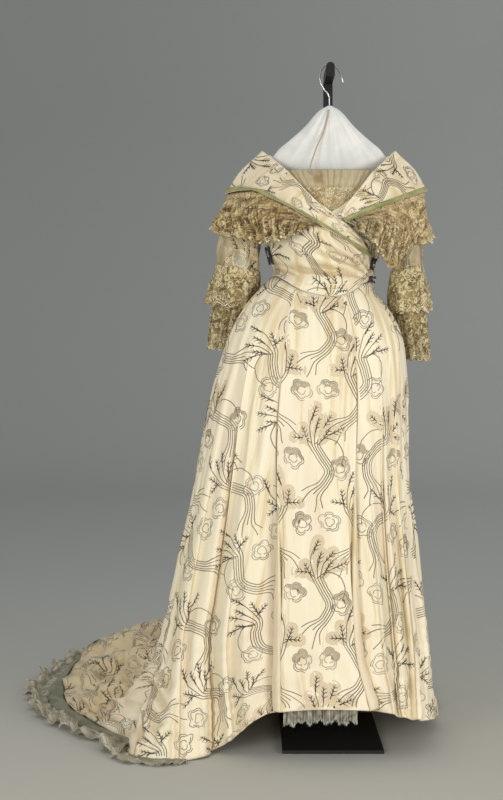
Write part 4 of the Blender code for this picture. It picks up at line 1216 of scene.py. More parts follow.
def silk_paint(name, gold=1.0, soil=0.0):
    """Cream silk with watered streaks down the cloth, lighter streaks of painted sheen, gold streaks that are
    partly moire and partly painted crease shade, and painted golden shade where it lies in folds.
    """
    paint = Paint(name, CREAM, 0.42, sheen=0.10, specular=0.40)
    cut = paint.cut()
    long = paint.streaks(cut, (30.0, 2.6), 2.0, 0.5, 0.6)
    narrow = paint.streaks(cut, (95.0, 6.0), 3.0, 0.6, 0.8)
    broad = paint.streaks(cut, (7.0, 3.0), 2.0)
    water = paint.streaks(cut, (420.0, 36.0), 3.0, 0.6, 1.2)
    thread = paint.streaks(cut, (2600.0, 240.0), 2.0)
    weft = paint.streaks(cut, (220.0, 2900.0), 2.0)
    moire_and_shade_streak = long.between(0.50, 0.64) * narrow.between(0.40, 0.60)
    fold = paint.shade()
    colour = paint.mix(broad.between(0.45, 0.62) * 0.45, CREAM, PINK)
    # Painted sheen: lighter long streaks stand in for the silk's highlights.
    colour = paint.mix(long.between(0.46, 0.30) * 0.6, colour, SHEEN_AND_MOIRE_LIGHT)
    # Gold streaks down the cloth: partly the silk's moire, partly painted shade of fine creases.
    colour = paint.mix(moire_and_shade_streak * (0.60 * gold), colour, MOIRE_AND_SHADE_GOLD)
    colour = paint.mix((water - 0.35).clipped() * 0.30, colour, SHEEN_AND_MOIRE_LIGHT)
    # Painted shade in the folds, read from the cloth's shade attribute: umber, and brown in the deepest.
    colour = paint.mix(fold.between(0.04, 0.70) * 0.58, colour, FOLD_SHADE_UMBER)
    colour = paint.mix(fold.between(0.60, 1.0) * 0.85, colour, FOLD_SHADE_BROWN)
    if soil:
        grime = paint.noise(cut, 16.0, 4.0, 0.6)
        colour = paint.mix((grime.between(0.34, 0.62) * 0.5 + 0.5) * soil, colour, (0.400, 0.310, 0.165))
    paint.set("Base Color", colour)
    paint.set("Roughness", 0.36 + 0.16 * water + 0.10 * moire_and_shade_streak)
    paint.bump(thread * 0.4 + weft * 0.4 + water * 0.5, 0.00035, 0.5)
    return paint.material


def green_paint(name, deep, light):
    """Ribbed satin, paler where it is worn."""
    paint = Paint(name, deep, 0.40, sheen=0.1)
    cut = paint.cut()
    rib = paint.streaks(cut, (900.0, 60.0), 2.0)
    worn = paint.noise(cut, 24.0, 3.0, 0.6)
    colour = paint.mix(worn.between(0.40, 0.62) * 0.7, deep, light)
    colour = paint.mix(rib.between(0.5, 0.75) * 0.2, colour, tuple(c * 1.25 for c in light))
    paint.set("Base Color", colour)
    paint.set("Roughness", 0.34 + 0.20 * worn)
    paint.bump(rib, 0.0003, 0.5)
    return paint.material


def lace_paint(name, ground, deep, thread, pitch=75.0, clear=0.0):
    """Machine lace: rosettes and curling raised threads on a fine net, with painted shade in its folds."""
    paint = Paint(name, ground, 0.85, sheen=0.1, specular=0.25)
    cut = paint.cut()
    net = paint.cells(cut, 420.0, "DISTANCE_TO_EDGE", 0.35)
    rose = paint.cells(cut, pitch, "F1", 0.85)
    curls = paint.noise(cut, pitch * 0.55, 2.0, 0.5, 1.6)
    patch = paint.noise(cut, 30.0, 3.0, 0.6)
    ring = 1.0 - (rose - 0.34).size().between(0.05, 0.12)
    core = 1.0 - rose.between(0.10, 0.17)
    curl = 1.0 - (curls - 0.5).size().between(0.012, 0.040)
    mesh = 1.0 - net.between(0.03, 0.12)
    motif = (ring * patch.between(0.36, 0.50) + core + curl).clipped()
    colour = paint.mix(patch.between(0.38, 0.62), deep, ground)
    colour = paint.mix(mesh * 0.3, colour, thread)
    colour = paint.mix(motif * 0.9, colour, thread)
    # Painted shade in the folds, read from the cloth's shade attribute.
    colour = paint.mix(paint.shade().between(0.05, 0.9) * 0.80, colour, deep)
    paint.set("Base Color", colour)
    paint.bump(motif + mesh * 0.3, 0.0012, 0.9)
    if clear:
        paint.set("Alpha", 1.0 - (1.0 - mesh) * (1.0 - motif) * clear)
    return paint.material


def net_paint():
    """Gathered net of the insert: plain above, lace with raised dots below, a brown stain near the top, and
    painted shade along its tucks and in its folds.
    """
    paint = Paint("gathered_net", (0.56, 0.45, 0.28), 0.8, specular=0.3)
    cut = paint.cut()
    place = paint.solid()
    high = paint.node("ShaderNodeSeparateXYZ", {}, {0: cut}, output="Y").between(0.064, 0.078)
    tuck = paint.streaks(cut, (260.0, 14.0), 3.0, 0.6, 0.4)
    rose = paint.cells(cut, 120.0, "F1", 0.9)
    curls = paint.noise(cut, 80.0, 2.0, 0.5, 1.5)
    soft = paint.noise(cut, 30.0, 3.0, 0.6)
    level = paint.stretched(place, 1.0, 0.0)
    ends = {0: level, 1: STAIN}
    apart = paint.node("ShaderNodeVectorMath", {"operation": "DISTANCE"}, ends, output="Value")
    stain = 1.0 - (apart + soft * 0.050).between(0.026, 0.050)
    motif = ((1.0 - (rose - 0.30).size().between(0.05, 0.12)) * soft.between(0.40, 0.55)
             + (1.0 - (curls - 0.5).size().between(0.015, 0.045)) * 0.7).clipped()
    colour = paint.mix(soft.between(0.40, 0.62), (0.330, 0.225, 0.085), (0.540, 0.405, 0.190))
    colour = paint.mix(motif * (1.0 - high) * 0.8, colour, (0.800, 0.730, 0.540))
    colour = paint.mix(high * 0.8, colour, (0.600, 0.520, 0.340))
    # Painted shade: darker streaks along the fine tucks, then darker in the folds from the shade attribute.
    colour = paint.mix(tuck.between(0.44, 0.62) * 0.32, colour, (0.350, 0.260, 0.120))
    colour = paint.mix(paint.shade().between(0.05, 0.9) * 0.6, colour, (0.260, 0.180, 0.080))
    colour = paint.mix(stain * 0.62, colour, (0.270, 0.130, 0.030))
    paint.set("Base Color", colour)
    paint.bump(tuck + motif * 0.6, 0.0012, 0.8)
    return paint.material


def ruffle_paint(name, light, dark, threads):
    """Frayed cloth with pale and dark strands down it."""
    paint = Paint(name, light, 0.9, sheen=0.15, specular=0.2)
    cut = paint.cut()
    strand = paint.streaks(cut, (1100.0, 90.0), 3.0, 0.7)
    soft = paint.noise(cut, 45.0, 3.0)
    colour = paint.mix(soft.between(0.40, 0.64), dark, light)
    colour = paint.mix(strand.between(0.50, 0.70) * threads, colour, (0.80, 0.76, 0.64))
    colour = paint.mix(strand.between(0.42, 0.30) * threads, colour, (0.16, 0.14, 0.09))
    paint.set("Base Color", colour)
    paint.bump(strand, 0.0008, 0.8)
    return paint.material


def cotton_paint():
    """White cotton of the hanger's cover."""
    paint = Paint("white_cotton", (0.70, 0.70, 0.67), 0.8, sheen=0.1, specular=0.3)
    place = paint.solid()
    weave = paint.streaks(place, (1500.0, 1500.0, 1500.0), 2.0)
    soft = paint.noise(place, 14.0, 3.0, 0.5, 0.4)
    crease = paint.streaks(place, (60.0, 60.0, 5.0), 2.0, 0.5, 0.2)
    colour = paint.mix(soft.between(0.42, 0.62), (0.700, 0.700, 0.670), (0.790, 0.770, 0.725))
    paint.set("Base Color", colour)
    paint.bump(weave * 0.08 + crease * 1.0, 0.003, 0.30)
    return paint.material


def thread_paint(name, colour, gloss=0.5, other=None):
    """Twisted thread, in two tones where another colour is given."""
    paint = Paint(name, colour, gloss, specular=0.4)
    place = paint.solid()
    twist = paint.noise(place, 900.0, 2.0)
    tone = paint.noise(place, 26.0, 2.0)
    mixed = paint.mix(twist.between(0.4, 0.6) * 0.5, colour, tuple(min(1.0, c * 1.7 + 0.01) for c in colour))
    if other is not None:
        mixed = paint.mix(tone.between(0.45, 0.60), mixed, other)
    paint.set("Base Color", mixed)
    paint.bump(twist, 0.0002, 0.5)
    return paint.material


def black_paint():
    """Black painted steel of the plate and the post, a little rubbed."""
    paint = Paint("black_stand", (0.012, 0.012, 0.013), 0.42, specular=0.45)
    place = paint.solid()
    grain = paint.noise(place, 1400.0, 2.0)
    rub = paint.noise(place, 9.0, 4.0, 0.6)
    colour = paint.mix(rub.between(0.50, 0.72) * 0.5, (0.010, 0.010, 0.011), (0.024, 0.024, 0.025))
    paint.set("Base Color", colour)
    paint.set("Roughness", 0.36 + 0.22 * rub)
    paint.bump(grain, 0.00012, 0.5)
    return paint.material


def wire_paint():
    """Bright drawn wire of the hook."""
    paint = Paint("bright_wire", (0.56, 0.56, 0.57), 0.28, metallic=1.0)
    place = paint.solid()
    drawn = paint.streaks(place, (700.0, 700.0, 90.0), 2.0)
    paint.set("Base Color", paint.mix(drawn.between(0.4, 0.7), (0.48, 0.48, 0.49), (0.66, 0.66, 0.66)))
    paint.set("Roughness", 0.22 + 0.18 * drawn)
    return paint.material


def velvet_paint():
    """Black velvet of the small trims."""
    paint = Paint("black_velvet", (0.015, 0.013, 0.018), 0.85, sheen=0.5, specular=0.2)
    pile = paint.noise(paint.solid(), 900.0, 2.0)
    paint.set("Base Color", paint.mix(pile.between(0.4, 0.6), (0.010, 0.009, 0.013), (0.035, 0.030, 0.042)))
    paint.bump(pile, 0.0005, 0.8)
    return paint.material


def studio_paint():
    """The studio's painted sweep: a pale warm floor that passes softly into a grey wall, with painted light
    making the wall lighter towards +X.
    """
    paint = Paint("studio_sweep", (0.40, 0.385, 0.345), 0.85, specular=0.2)
    place = paint.solid()
    back = paint.node("ShaderNodeSeparateXYZ", {}, {0: place}, output="Y").between(-0.7, 2.8)
    cloud = paint.noise(place, 1.1, 2.0)
    # Painted light: the wall is lighter towards +X, as the light falls brighter on that side.
    side = paint.node("ShaderNodeSeparateXYZ", {}, {0: place}, output="X").between(-2.4, 3.0)
    wall = paint.mix(side, (0.400, 0.406, 0.388), (0.520, 0.524, 0.500))
    colour = paint.mix(back, (0.520, 0.500, 0.440), wall)
    paint.set("Base Color", paint.mix(cloud.between(0.35, 0.65) * 0.10, colour, (0.45, 0.45, 0.43)))
    return paint.material


# Folds of the wrap that fan out from the left waist: angle of the fan, half width, height.
FAN_FOLDS = np.array([
    (-11.0, 3.0, 0.0010), (-4.0, 2.5, 0.0016), (4.0, 3.0, 0.0022), (11.0, 2.2, 0.0026), (18.0, 2.8, 0.0040),
    (25.0, 2.2, 0.0034), (32.0, 3.2, 0.0048), (41.0, 2.8, 0.0036), (50.0, 3.0, 0.0044), (58.0, 2.6, 0.0030),
])
# Word, table of the arm, side, flip, and where the upper and the lower flounce run along the arm.
SLEEVES = (
    ("right", ARM_RIGHT, 1.0, -1.0, (3.75, 5.20), (4.70, 6.95)),
    ("left", ARM_LEFT, -1.0, 1.0, (3.75, 5.45), (4.70, 7.50)),
)
# Middle of the brown stain on the insert, thickness of the velvet and the least flat size of a sheet.
STAIN = (-0.030, 0.0, 1.326)
VELVET = 0.0024
LEAST = 0.0101

# Least height of the train ruffle above the floor.
RUFFLE_LOW = 0.0016

pieces = []


def riding(made):
    """A piece that goes with the whole dress, parented to the root."""
    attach(made, "root")
    return made


def finish_piece(cloth, made, node, slot, held, rests_on, with_pieces=()):
    """Hides the solid that a cloth stands for, parents the cloth to the root and notes the solid, its flat
    size and area in a list of pieces.
    """
    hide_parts(node)
    riding(made)
    thick = VELVET if slot == "black_velvet" else 0.0
    flat = (max(cloth.width + thick, LEAST), max(cloth.length + thick, LEAST))
    area = min(max(cloth.area * (1.4 if thick else 1.0), 0.31 * flat[0] * flat[1]), flat[0] * flat[1])
    pieces.append((made, node, flat, area, held, rests_on, list(with_pieces)))


def fine_stations(start, end, step, marks):
    """Angles from start to end, three times closer together at the pressed edges."""
    found = [start]
    at = start
    while at < end:
        near = any(abs(turn(at, m)) < 1.4 for m in marks)
        at += step / 2.6 if near else step
        found.append(at)
    found = np.array(found)
    return start + (found - start) * (end - start) / (found[-1] - start)


def dress_skirt():
    """The seven panels of the skirt with their woven figure."""
    rows = np.concatenate([np.linspace(0, UPRIGHT, 62), np.linspace(UPRIGHT, 1.0, 52)[1:]])
    marks = [row[0] for row in PLEATS]
    turned_under = np.array([0.12, 0.35, 0.7, 1.1, 1.5])
    # Degrees between columns, lean and shift of the figure, share of it on tan ground, seed.
    looks = {
        "skirt_front": (0.58, 0.0, (0.0, 0.08), 0.75, 41),
        "skirt_front_side_right": (0.60, 0.9, (0.02, 0.05), 0.10, 42),
        "skirt_side_right": (0.72, 1.2, (0.05, 0.09), 0.15, 43),
        "skirt_back_right": (0.80, 0.6, (0.0, 0.02), 0.15, 44),
        "skirt_back_left": (0.95, -0.6, (0.03, 0.07), 0.15, 45),
        "skirt_side_left": (0.95, -0.9, (0.03, 0.03), 0.10, 46),
        "skirt_front_side_left": (0.58, -0.5, (0.03, 0.05), 0.20, 47),
    }
    for name, start, end, coarse, fine in SKIRT_PANELS:
        step, lean, shift, halo, seed = looks[name]
        # The solids of the two back panels stand a little apart; their cloths meet.
        start = 180.0 if name == "skirt_back_left" else start
        us = fine_stations(start, end, step, marks)
        surface = skirt_side
        if name == "skirt_front":
            surface = skirt_front
            us = np.concatenate([start - turned_under[::-1], us, end + turned_under])
        cloth = Cloth(name, surface, us, rows, 1.0)
        held = np.clip(cloth.u, start, end) if name == "skirt_front" else cloth.u
        floor = lying_share(held) * smooth((lying_run(cloth.v) - 0.15) / 0.35)
        # Painted shade: on the front panel its turned-under edges dark and its grooves lightly shaded; on the
        # other panels their grooves and the dark lines and golden falls of the pleat edges.
        if name == "skirt_front":
            shade = 0.12 * groove_shade(held, cloth.v) + 0.9 * smooth(np.abs(cloth.u - held))
        else:
            shade = np.maximum(groove_shade(held, cloth.v) * 0.28, pleat_shade(held, cloth.v))
        # More painted shade in the valleys of the cloth, stronger on the crumples that lie on the floor; the
        # lying part is also darkened towards umber.
        shade = shade + 0.20 * cloth.valleys(4, 0.0040) * (1 + 1.4 * floor) + 0.60 * floor
        made = cloth.build(silk, shade=np.clip(shade, 0, 1 - 0.38 * floor))
        weave_figure(cloth, seed, lean, shift, halo)
        finish_piece(cloth, made, name, "cream_silk", "hung", ["bodice_front_right"])


def finish_ruffle(cloth, made, slot, thread, ends, rests_on):
    """A ruffle with the loose thread ends along its free edge."""
    fray = Threads(cloth.name + "_fray", thread)
    fringe(fray, cloth, *ends)
    frayed = riding(fray.build())
    finish_piece(cloth, made, cloth.name, slot, "gathered", [rests_on], [frayed])


def dress_hem():
    """The sage facing, the frayed ruffle of the train and the whiter one under the front hem."""
    joints = hem_stations(54, 220)

    def facing_fine(angle, t):
        point = facing(angle, t)
        soft = 0.0022 * swell(angle * 0.05, t * 0.05, 21, 5, 0.30) * bump(2 * t - 1)
        point[..., 2] += np.abs(soft) + 0.0008
        return point

    along = np.linspace(joints[0], joints[-1], 320)
    cloth = Cloth("train_facing", facing_fine, along, np.linspace(0, 1, 9))
    made = cloth.build(sage)
    finish_piece(cloth, made, "train_facing", "green_satin", "laid", ["floor"])

    def ruffle_fine(angle, t):
        point = ruffle(angle, t)
        out = edge_out(angle)
        wide = table_at(TRAIN_EDGE, 2, angle)
        small = np.sin(np.radians(angle) * 150 + 2.6 * np.sin(np.radians(angle) * 31) + t)
        frill = swell(angle * 0.02, t * 0.03, 23, 6, 0.045)
        head = smooth(-t * 3.0)
        reach = table_at(TRAIN_EDGE, 1, angle)
        cover = 0.30 + 0.22 * swell(angle * 0.02, 0 * angle, 25, 5, 0.35)
        back = np.clip(-t, 0, 1) / 0.35 * np.clip(cover, 0.04, 0.62)
        point -= out * (reach * back + wide * np.minimum(t, 0))[..., None]
        point[..., 2] += (0.0050 * small + 0.0065 * frill + 0.006) * smooth(t * 1.5)
        point[..., 2] += np.where(t < 0, 0.0075 + 0.0030 * small * head + 0.0035 * frill * head, 0.0)
        point[..., 2] += 0.0075 * smooth(1 - t / 0.25) * (t >= 0)
        ragged = 0.13 * np.sin(np.radians(angle) * 101) + 0.18 * swell(angle * 0.02, 0 * angle, 27, 5, 0.11)
        point += out * (wide * ragged * np.maximum(t, 0) + 0.006 * frill * t)[..., None]
        flat = 1 - 0.75 * smooth((78 - angle) / 10)
        point[..., 2] = RUFFLE_LOW + (point[..., 2] - RUFFLE_LOW) * flat
        point[..., 2] = np.maximum(point[..., 2], RUFFLE_LOW)
        return point

    rows = np.concatenate([[-0.35, -0.23, -0.10], np.linspace(0, 1, 8)])
    cloth = Cloth("train_ruffle", ruffle_fine, np.linspace(joints[0], joints[-1], 1200), rows)
    made = cloth.build(grey_ruffle, shade=cloth.valleys(2, 0.0025))
    finish_ruffle(cloth, made, "grey_ruffle", fray_thread, (2300, 61, 0.011, 0.0009, 0.4), "train_facing")

    def frill(angle, t):
        wave = np.cos(np.radians(angle * 360 / 3.4)) * 0.5 + 0.5
        inward = -(SILK + LAYER + 0.0012) - (0.006 + 0.008 * wave) * smooth(t * 1.5)
        inward = inward - 0.003 * np.sin(np.radians(angle * 360 / 1.1)) * smooth(t * 1.2)
        point = moved_out(skirt, angle, np.full_like(angle, 0.93), inward, 1.0)
        drop = hem_edge(angle)[..., 2] - skirt(angle, np.full_like(angle, 0.93))[..., 2]
        wavy = 0.004 * np.sin(np.radians(angle * 61)) + 0.003 * np.sin(np.radians(angle * 133))
        point[..., 2] = point[..., 2] + t * (drop - 0.027 + wavy)
        return point

    cloth = Cloth("front_ruffle", frill, np.linspace(-13, 15.4, 340), np.linspace(0, 1, 12))
    made = cloth.build(white_ruffle, shade=cloth.valleys(4, 0.0020))
    finish_ruffle(cloth, made, "white_ruffle", pale_thread, (520, 62, 0.008, 0.0009, 0.3), "skirt_front")


def fringe(threads, cloth, count, seed, length, width, curl):
    """Loose thread ends along the last row of a cloth."""
    rng = np.random.default_rng(seed)
    edge = cloth.point[:, -1]
    inner = cloth.point[:, -3]
    at = rng.uniform(0, len(edge) - 1.001, count)
    i = at.astype(int)
    s = (at - i)[:, None]
    root = edge[i] * (1 - s) + edge[i + 1] * s
    out = unit(root - (inner[i] * (1 - s) + inner[i + 1] * s))
    way = unit(out + rng.normal(0, curl, (count, 3)))
    long = length * rng.uniform(0.25, 1.0, count)[:, None]
    bend = rng.normal(0, 0.3, (count, 3))
    side = unit(np.cross(way, rng.normal(0, 1, (count, 3)))) * width / 2
    middle = root + way * long * 0.5
    tip = root + unit(way + bend) * long
    for part in (middle, tip):
        part[:, 2] = np.maximum(part[:, 2], 0.0012)
    start = root - out * 0.002
    points = np.stack([start - side, start + side, middle - side * 0.8, middle + side * 0.8,
                       tip - side * 0.3, tip + side * 0.3], axis=1)
    base = np.arange(count)[:, None] * 6
    faces = np.concatenate([base + np.array([[0, 1, 3, 2]]), base + np.array([[2, 3, 5, 4]])])
    threads.raw(points.reshape(-1, 3), faces)


def wrap_folds(angle, z):
    """Soft folds that fan out from the left waist, and level tucks just above the waist seam."""
    along = np.radians(angle + 70.0) * 0.125
    up = z - 1.085
    far = np.hypot(along, up)
    fan = np.degrees(np.arctan2(up, along))
    inside = smooth((fan + 18) / 6) * smooth((66 - fan) / 8)
    height = sum(rise * bump((fan - at - 1.5 * np.sin(far * 30)) / half) for at, half, rise in FAN_FOLDS)
    fade = smooth(far / 0.05) * (1 - 0.55 * smooth((far - 0.10) / 0.14)) * smooth((84 - angle) / 20)
    above = z - waist_z(angle)
    tuck = np.sin(above * 2 * math.pi / 0.0115 + np.radians(angle) * 1.1)
    level = 0.0016 * tuck * bump((above - 0.018) / 0.020)
    level = level * smooth((70 + angle) / 30) * smooth((88 - angle) / 30)
    return drape(angle, z) * 0.55 + height * inside * fade + level


def dress_bodice():
    """The wrap, the front under it, the two backs and the gathered insert with its beads."""
    right_side = lambda z: SIDE_ANGLE - armhole(z)
    left_side = lambda z: -(SIDE_ANGLE - armhole(z))
    wrap_edge = lambda z: table_at(WRAP_EDGE, 1, z)
    under_edge = lambda z: table_at(UNDER_EDGE, 1, z)
    back_edge = lambda z: table_at(BACK_EDGE, 1, z)
    far_edge = lambda z: 360 - back_edge(z)
    right_back = lambda z: SIDE_ANGLE + armhole(z)
    left_back = lambda z: 360 - SIDE_ANGLE - armhole(z)
    low = 1.05
    soft = lambda a, z: 0.0007 * swell(np.radians(a) * 0.15, z * 0.5, 31, 5, 0.05)
    beneath = lambda a, z: -0.0038 * smooth((a + 84) / 8) * smooth((1.345 - z) / 0.03)
    cuts = (
        ("bodice_front_right", wrap_edge, right_side, wrap_folds, 125, 92, 0.35, 51),
        ("bodice_front_left", left_side, under_edge, beneath, 46, 64, 0.0, 52),
        ("bodice_back_right", right_back, back_edge, soft, 42, 42, 0.0, 53),
        ("bodice_back_left", far_edge, left_back, soft, 42, 42, 0.0, 54),
    )
    for name, start, end, push, across, up, lean, seed in cuts:
        surface = panel(start, end, low, SHOULDER_Z, push)
        cloth = Cloth(name, surface, np.linspace(0, 1, across), np.linspace(0, 1, up), -1.0)
        # Painted shade: a little darker overall and more in the valleys of the folds.
        made = cloth.build(silk, shade=0.06 + 0.66 * cloth.valleys(3, 0.0026))
        weave_figure(cloth, seed, lean + math.pi, (0.03, 0.02), 0.0, 0.86)
        finish_piece(cloth, made, name, "cream_silk", "draped", ["hanger_pad"])

    def insert(u, v):
        z = 1.236 + 0.120 * v
        half = table_at(INSERT_EDGE, 1, z)
        upper = smooth((v - 0.50) / 0.12)
        gather = 0.0005 * np.cos(u * math.pi * 15 + 1.2 * np.sin(u * 9)) * upper
        fine = 0.0005 * swell(u * 0.10, v * 0.03, 33, 6, 0.020) * (1 - upper)
        return bodice(u * half, z, -0.0078 + gather + fine)

    cloth = Cloth("lace_insert", insert, np.linspace(-1, 1, 130), np.linspace(0, 1, 50), -1.0)
    # Painted shade in the valleys of the gathers.
    made = cloth.build(net, shade=cloth.valleys(3, 0.0012))
    beads = Threads("insert_beads", bead_glass)
    rng = np.random.default_rng(71)
    for _ in range(620):
        x = rng.uniform(-0.5, 0.5) * cloth.width
        y = rng.uniform(0, 0.068)
        beads.patch(cloth, (x, y), ring_of(6) * rng.uniform(0.0007, 0.0013), 0.0009, rings=2)
    sewn_on = [riding(beads.build())]
    finish_piece(cloth, made, "lace_insert", "beige_net", "gathered", ["bodice_front_left"], sewn_on)


def lace_rows(threads, cloth, pitch, seed, above=0.0):
    """Rosettes of raised thread in rows over a lace, from a distance down the cut cloth."""
    rng = np.random.default_rng(seed)
    rows = max(1, int(cloth.length / (pitch * 1.2)))
    count = max(2, int(cloth.width / pitch))
    for r in range(rows):
        y = (r + 0.5) * cloth.length / rows
        for c in range(count):
            x = (c + 0.5 + 0.5 * (r % 2)) * pitch - cloth.width / 2 + rng.normal(0, pitch * 0.12)
            if rng.uniform() < 0.30 or y < above:
                continue
            size = pitch * rng.uniform(0.20, 0.36)
            a = np.linspace(0, 2 * math.pi, 11)
            ring = round_points(a) * size * (1 + 0.16 * np.cos(5 * a))[:, None]
            threads.ribbon(cloth, ring + (x, y), 0.0013, 0.0007, 0.006)
            if rng.uniform() < 0.6:
                threads.patch(cloth, (x, y), round_points(a[:-1]) * 0.0016, 0.0009, rings=2)


def scallops(threads, cloth, pitch, depth):
    """Corded scallops along the free edge, with dots inside them."""
    edge = cloth.down[-1]
    count = max(1, int(round(cloth.width / pitch)))
    step = cloth.width / count
    for c in range(count):
        x0 = c * step - cloth.width / 2
        t = np.linspace(0, 1, 13)
        rows = ((0.0012, 1.0, (0.0022, 0.0008, 0.005)), (0.0060, 1.25, (0.0012, 0.0007, 0.006)))
        for inset, share, look in rows:
            arc = np.stack([x0 + t * step, edge - inset - depth * share * (1 - np.sin(math.pi * t))], axis=1)
            threads.ribbon(cloth, arc, *look)
        dot = ring_of(7) * 0.0021
        for at, up in ((0.30, 0.011), (0.5, 0.0085), (0.70, 0.011)):
            threads.patch(cloth, (x0 + at * step, edge - up - depth * 0.5), dot, 0.0010, rings=2)


def dress_collar():
    """The two revers and the back collar, each with its band of green satin."""
    faces = {}
    parts = (
        ("right", NECK_RIGHT, OUTER_RIGHT, 0.006, -1.0, 125, (0.02, 0.02), 0.0175),
        ("left", NECK_LEFT, OUTER_LEFT, 0.006, 1.0, 90, (0.06, 0.00), 0.0115),
        ("back", NECK_BACK, OUTER_BACK, 0.004, 1.0, 110, (0.00, 0.02), 0.0115),
    )
    for name, neck, outer, rise, flip, n, shift, edging in parts:
        face = collar(neck, outer, rise)
        faces[name] = face

        def soft(u, v, face=face, flip=flip):
            wave = 0.0011 * swell(u * 0.35, v * 0.10, 81, 5, 0.09) * bump(2 * v - 1)
            return moved_out(face, u, v, wave, flip)

        cloth = Cloth("collar_" + name, soft, np.linspace(0, 1, n), np.linspace(0, 1, 25), flip)
        # Painted shade: the whole collar darker, and more in the valleys of its folds.
        made = cloth.build(silk, shade=0.26 + 0.6 * cloth.valleys(4, 0.0022))
        weave_figure(cloth, 55, math.pi * 0.5, shift, 0.0, 0.74)
        finish_piece(cloth, made, "collar_" + name, "cream_silk", "folded", ["bodice_front_right"])

        def band(u, v, face=face, flip=flip, edging=edging):
            wide = np.linalg.norm(face(u, np.ones_like(v)) - face(u, np.zeros_like(v)), axis=-1)
            place_v = 1 - np.minimum(edging / np.maximum(wide, 0.001), 0.8) * (1 - v)
            height = 0.0012 + 0.0008 + 0.0011 * bump(2 * v - 1) + 0.0003 * np.sin(u * 190) * bump(2 * v - 1)
            return moved_out(face, u, place_v - 0.002, height, flip)

        cloth = Cloth("green_band_" + name, band, np.linspace(0, 1, n), np.linspace(0, 1, 7), flip)
        made = cloth.build(green)
        finish_piece(cloth, made, "green_band_" + name, "green_satin", "folded", ["collar_" + name])
    return faces


def dress_bertha(faces):
    """The gathered lace under the collar, one length for each side, and its raised cords."""
    cords = Threads("bertha_cords", lace_thread)
    for word, side, span, low in (("right", -1, 0.70, BERTHA_RIGHT), ("left", 1, 0.90, BERTHA_LEFT)):
        base = bertha(faces[word], faces["back"], low, side, span)
        flip = 1.0 if side < 0 else -1.0

        def ruffled(u, v, base=base):
            scallop = 0.05 * np.abs(np.sin(u * math.pi * 30))
            point = base(u, v * (0.97 + scallop * smooth(v * 1.5 - 0.4)))
            way = unit(stack(point[..., 0], point[..., 1] * 1.6, 0 * u))
            crush = swell(u * 0.62, v * 0.11, 91, 7, 0.030)
            tuck = np.sin(u * 2 * math.pi * 43 + 2.2 * np.sin(u * 2 * math.pi * 9) + v * 2)
            push = (0.0030 * crush + 0.0032 * tuck) * smooth((v - 0.05) * 2.2) + 0.0028 * smooth(v * 2)
            lift = 0.0025 * swell(u * 0.62, v * 0.11, 93, 5, 0.035) * smooth(v * 1.5)
            point = point + way * push[..., None]
            point[..., 2] += lift
            return point

        name = "bertha_lace_" + word
        cloth = Cloth(name, ruffled, np.linspace(0, 1, 540), np.linspace(0, 1, 24), flip)
        paint = lace if side < 0 else pale_lace
        # Painted shade in the valleys of the gathers.
        made = cloth.build(paint, shade=cloth.valleys(3, 0.0036))
        scallops(cords, cloth, 0.030, 0.006)
        lace_rows(cords, cloth, 0.0200, 96 + side)
        finish_piece(cloth, made, name, "gold_lace", "gathered", ["collar_" + word])
    return riding(cords.build())


def flounce_form(base, flip, span, waves, full, flare, clear):
    """Surface of a gathered flounce round a sleeve. t runs from its seam to its free edge."""
    start, end = span

    def flounce(angle, t):
        wave = 0.5 + 0.5 * np.cos(np.radians(angle * waves))
        edge = 0.035 * np.abs(np.sin(np.radians(angle * 6))) * smooth(t * 1.4 - 0.3)
        q = start + (end - start) * t * (0.985 + edge + 0.05 * (wave - 0.5) * smooth(t * 1.2))
        free = 0.35 + 0.65 * (0.5 + 0.5 * np.cos(np.radians(angle)))
        fine = 0.5 + 0.5 * np.sin(np.radians(angle * 26) + 2 * np.sin(np.radians(angle * 5)))
        crush = swell(np.radians(angle) * 0.05, t * 0.12, 111, 6, 0.035)
        push = LACE + clear + full * smooth(t * 1.3) * wave * free + flare * t
        push = push + (0.0025 * fine + 0.0014 * np.abs(crush)) * smooth(t * 2) * free
        return moved_out(base, angle, q, push, flip)
    return flounce


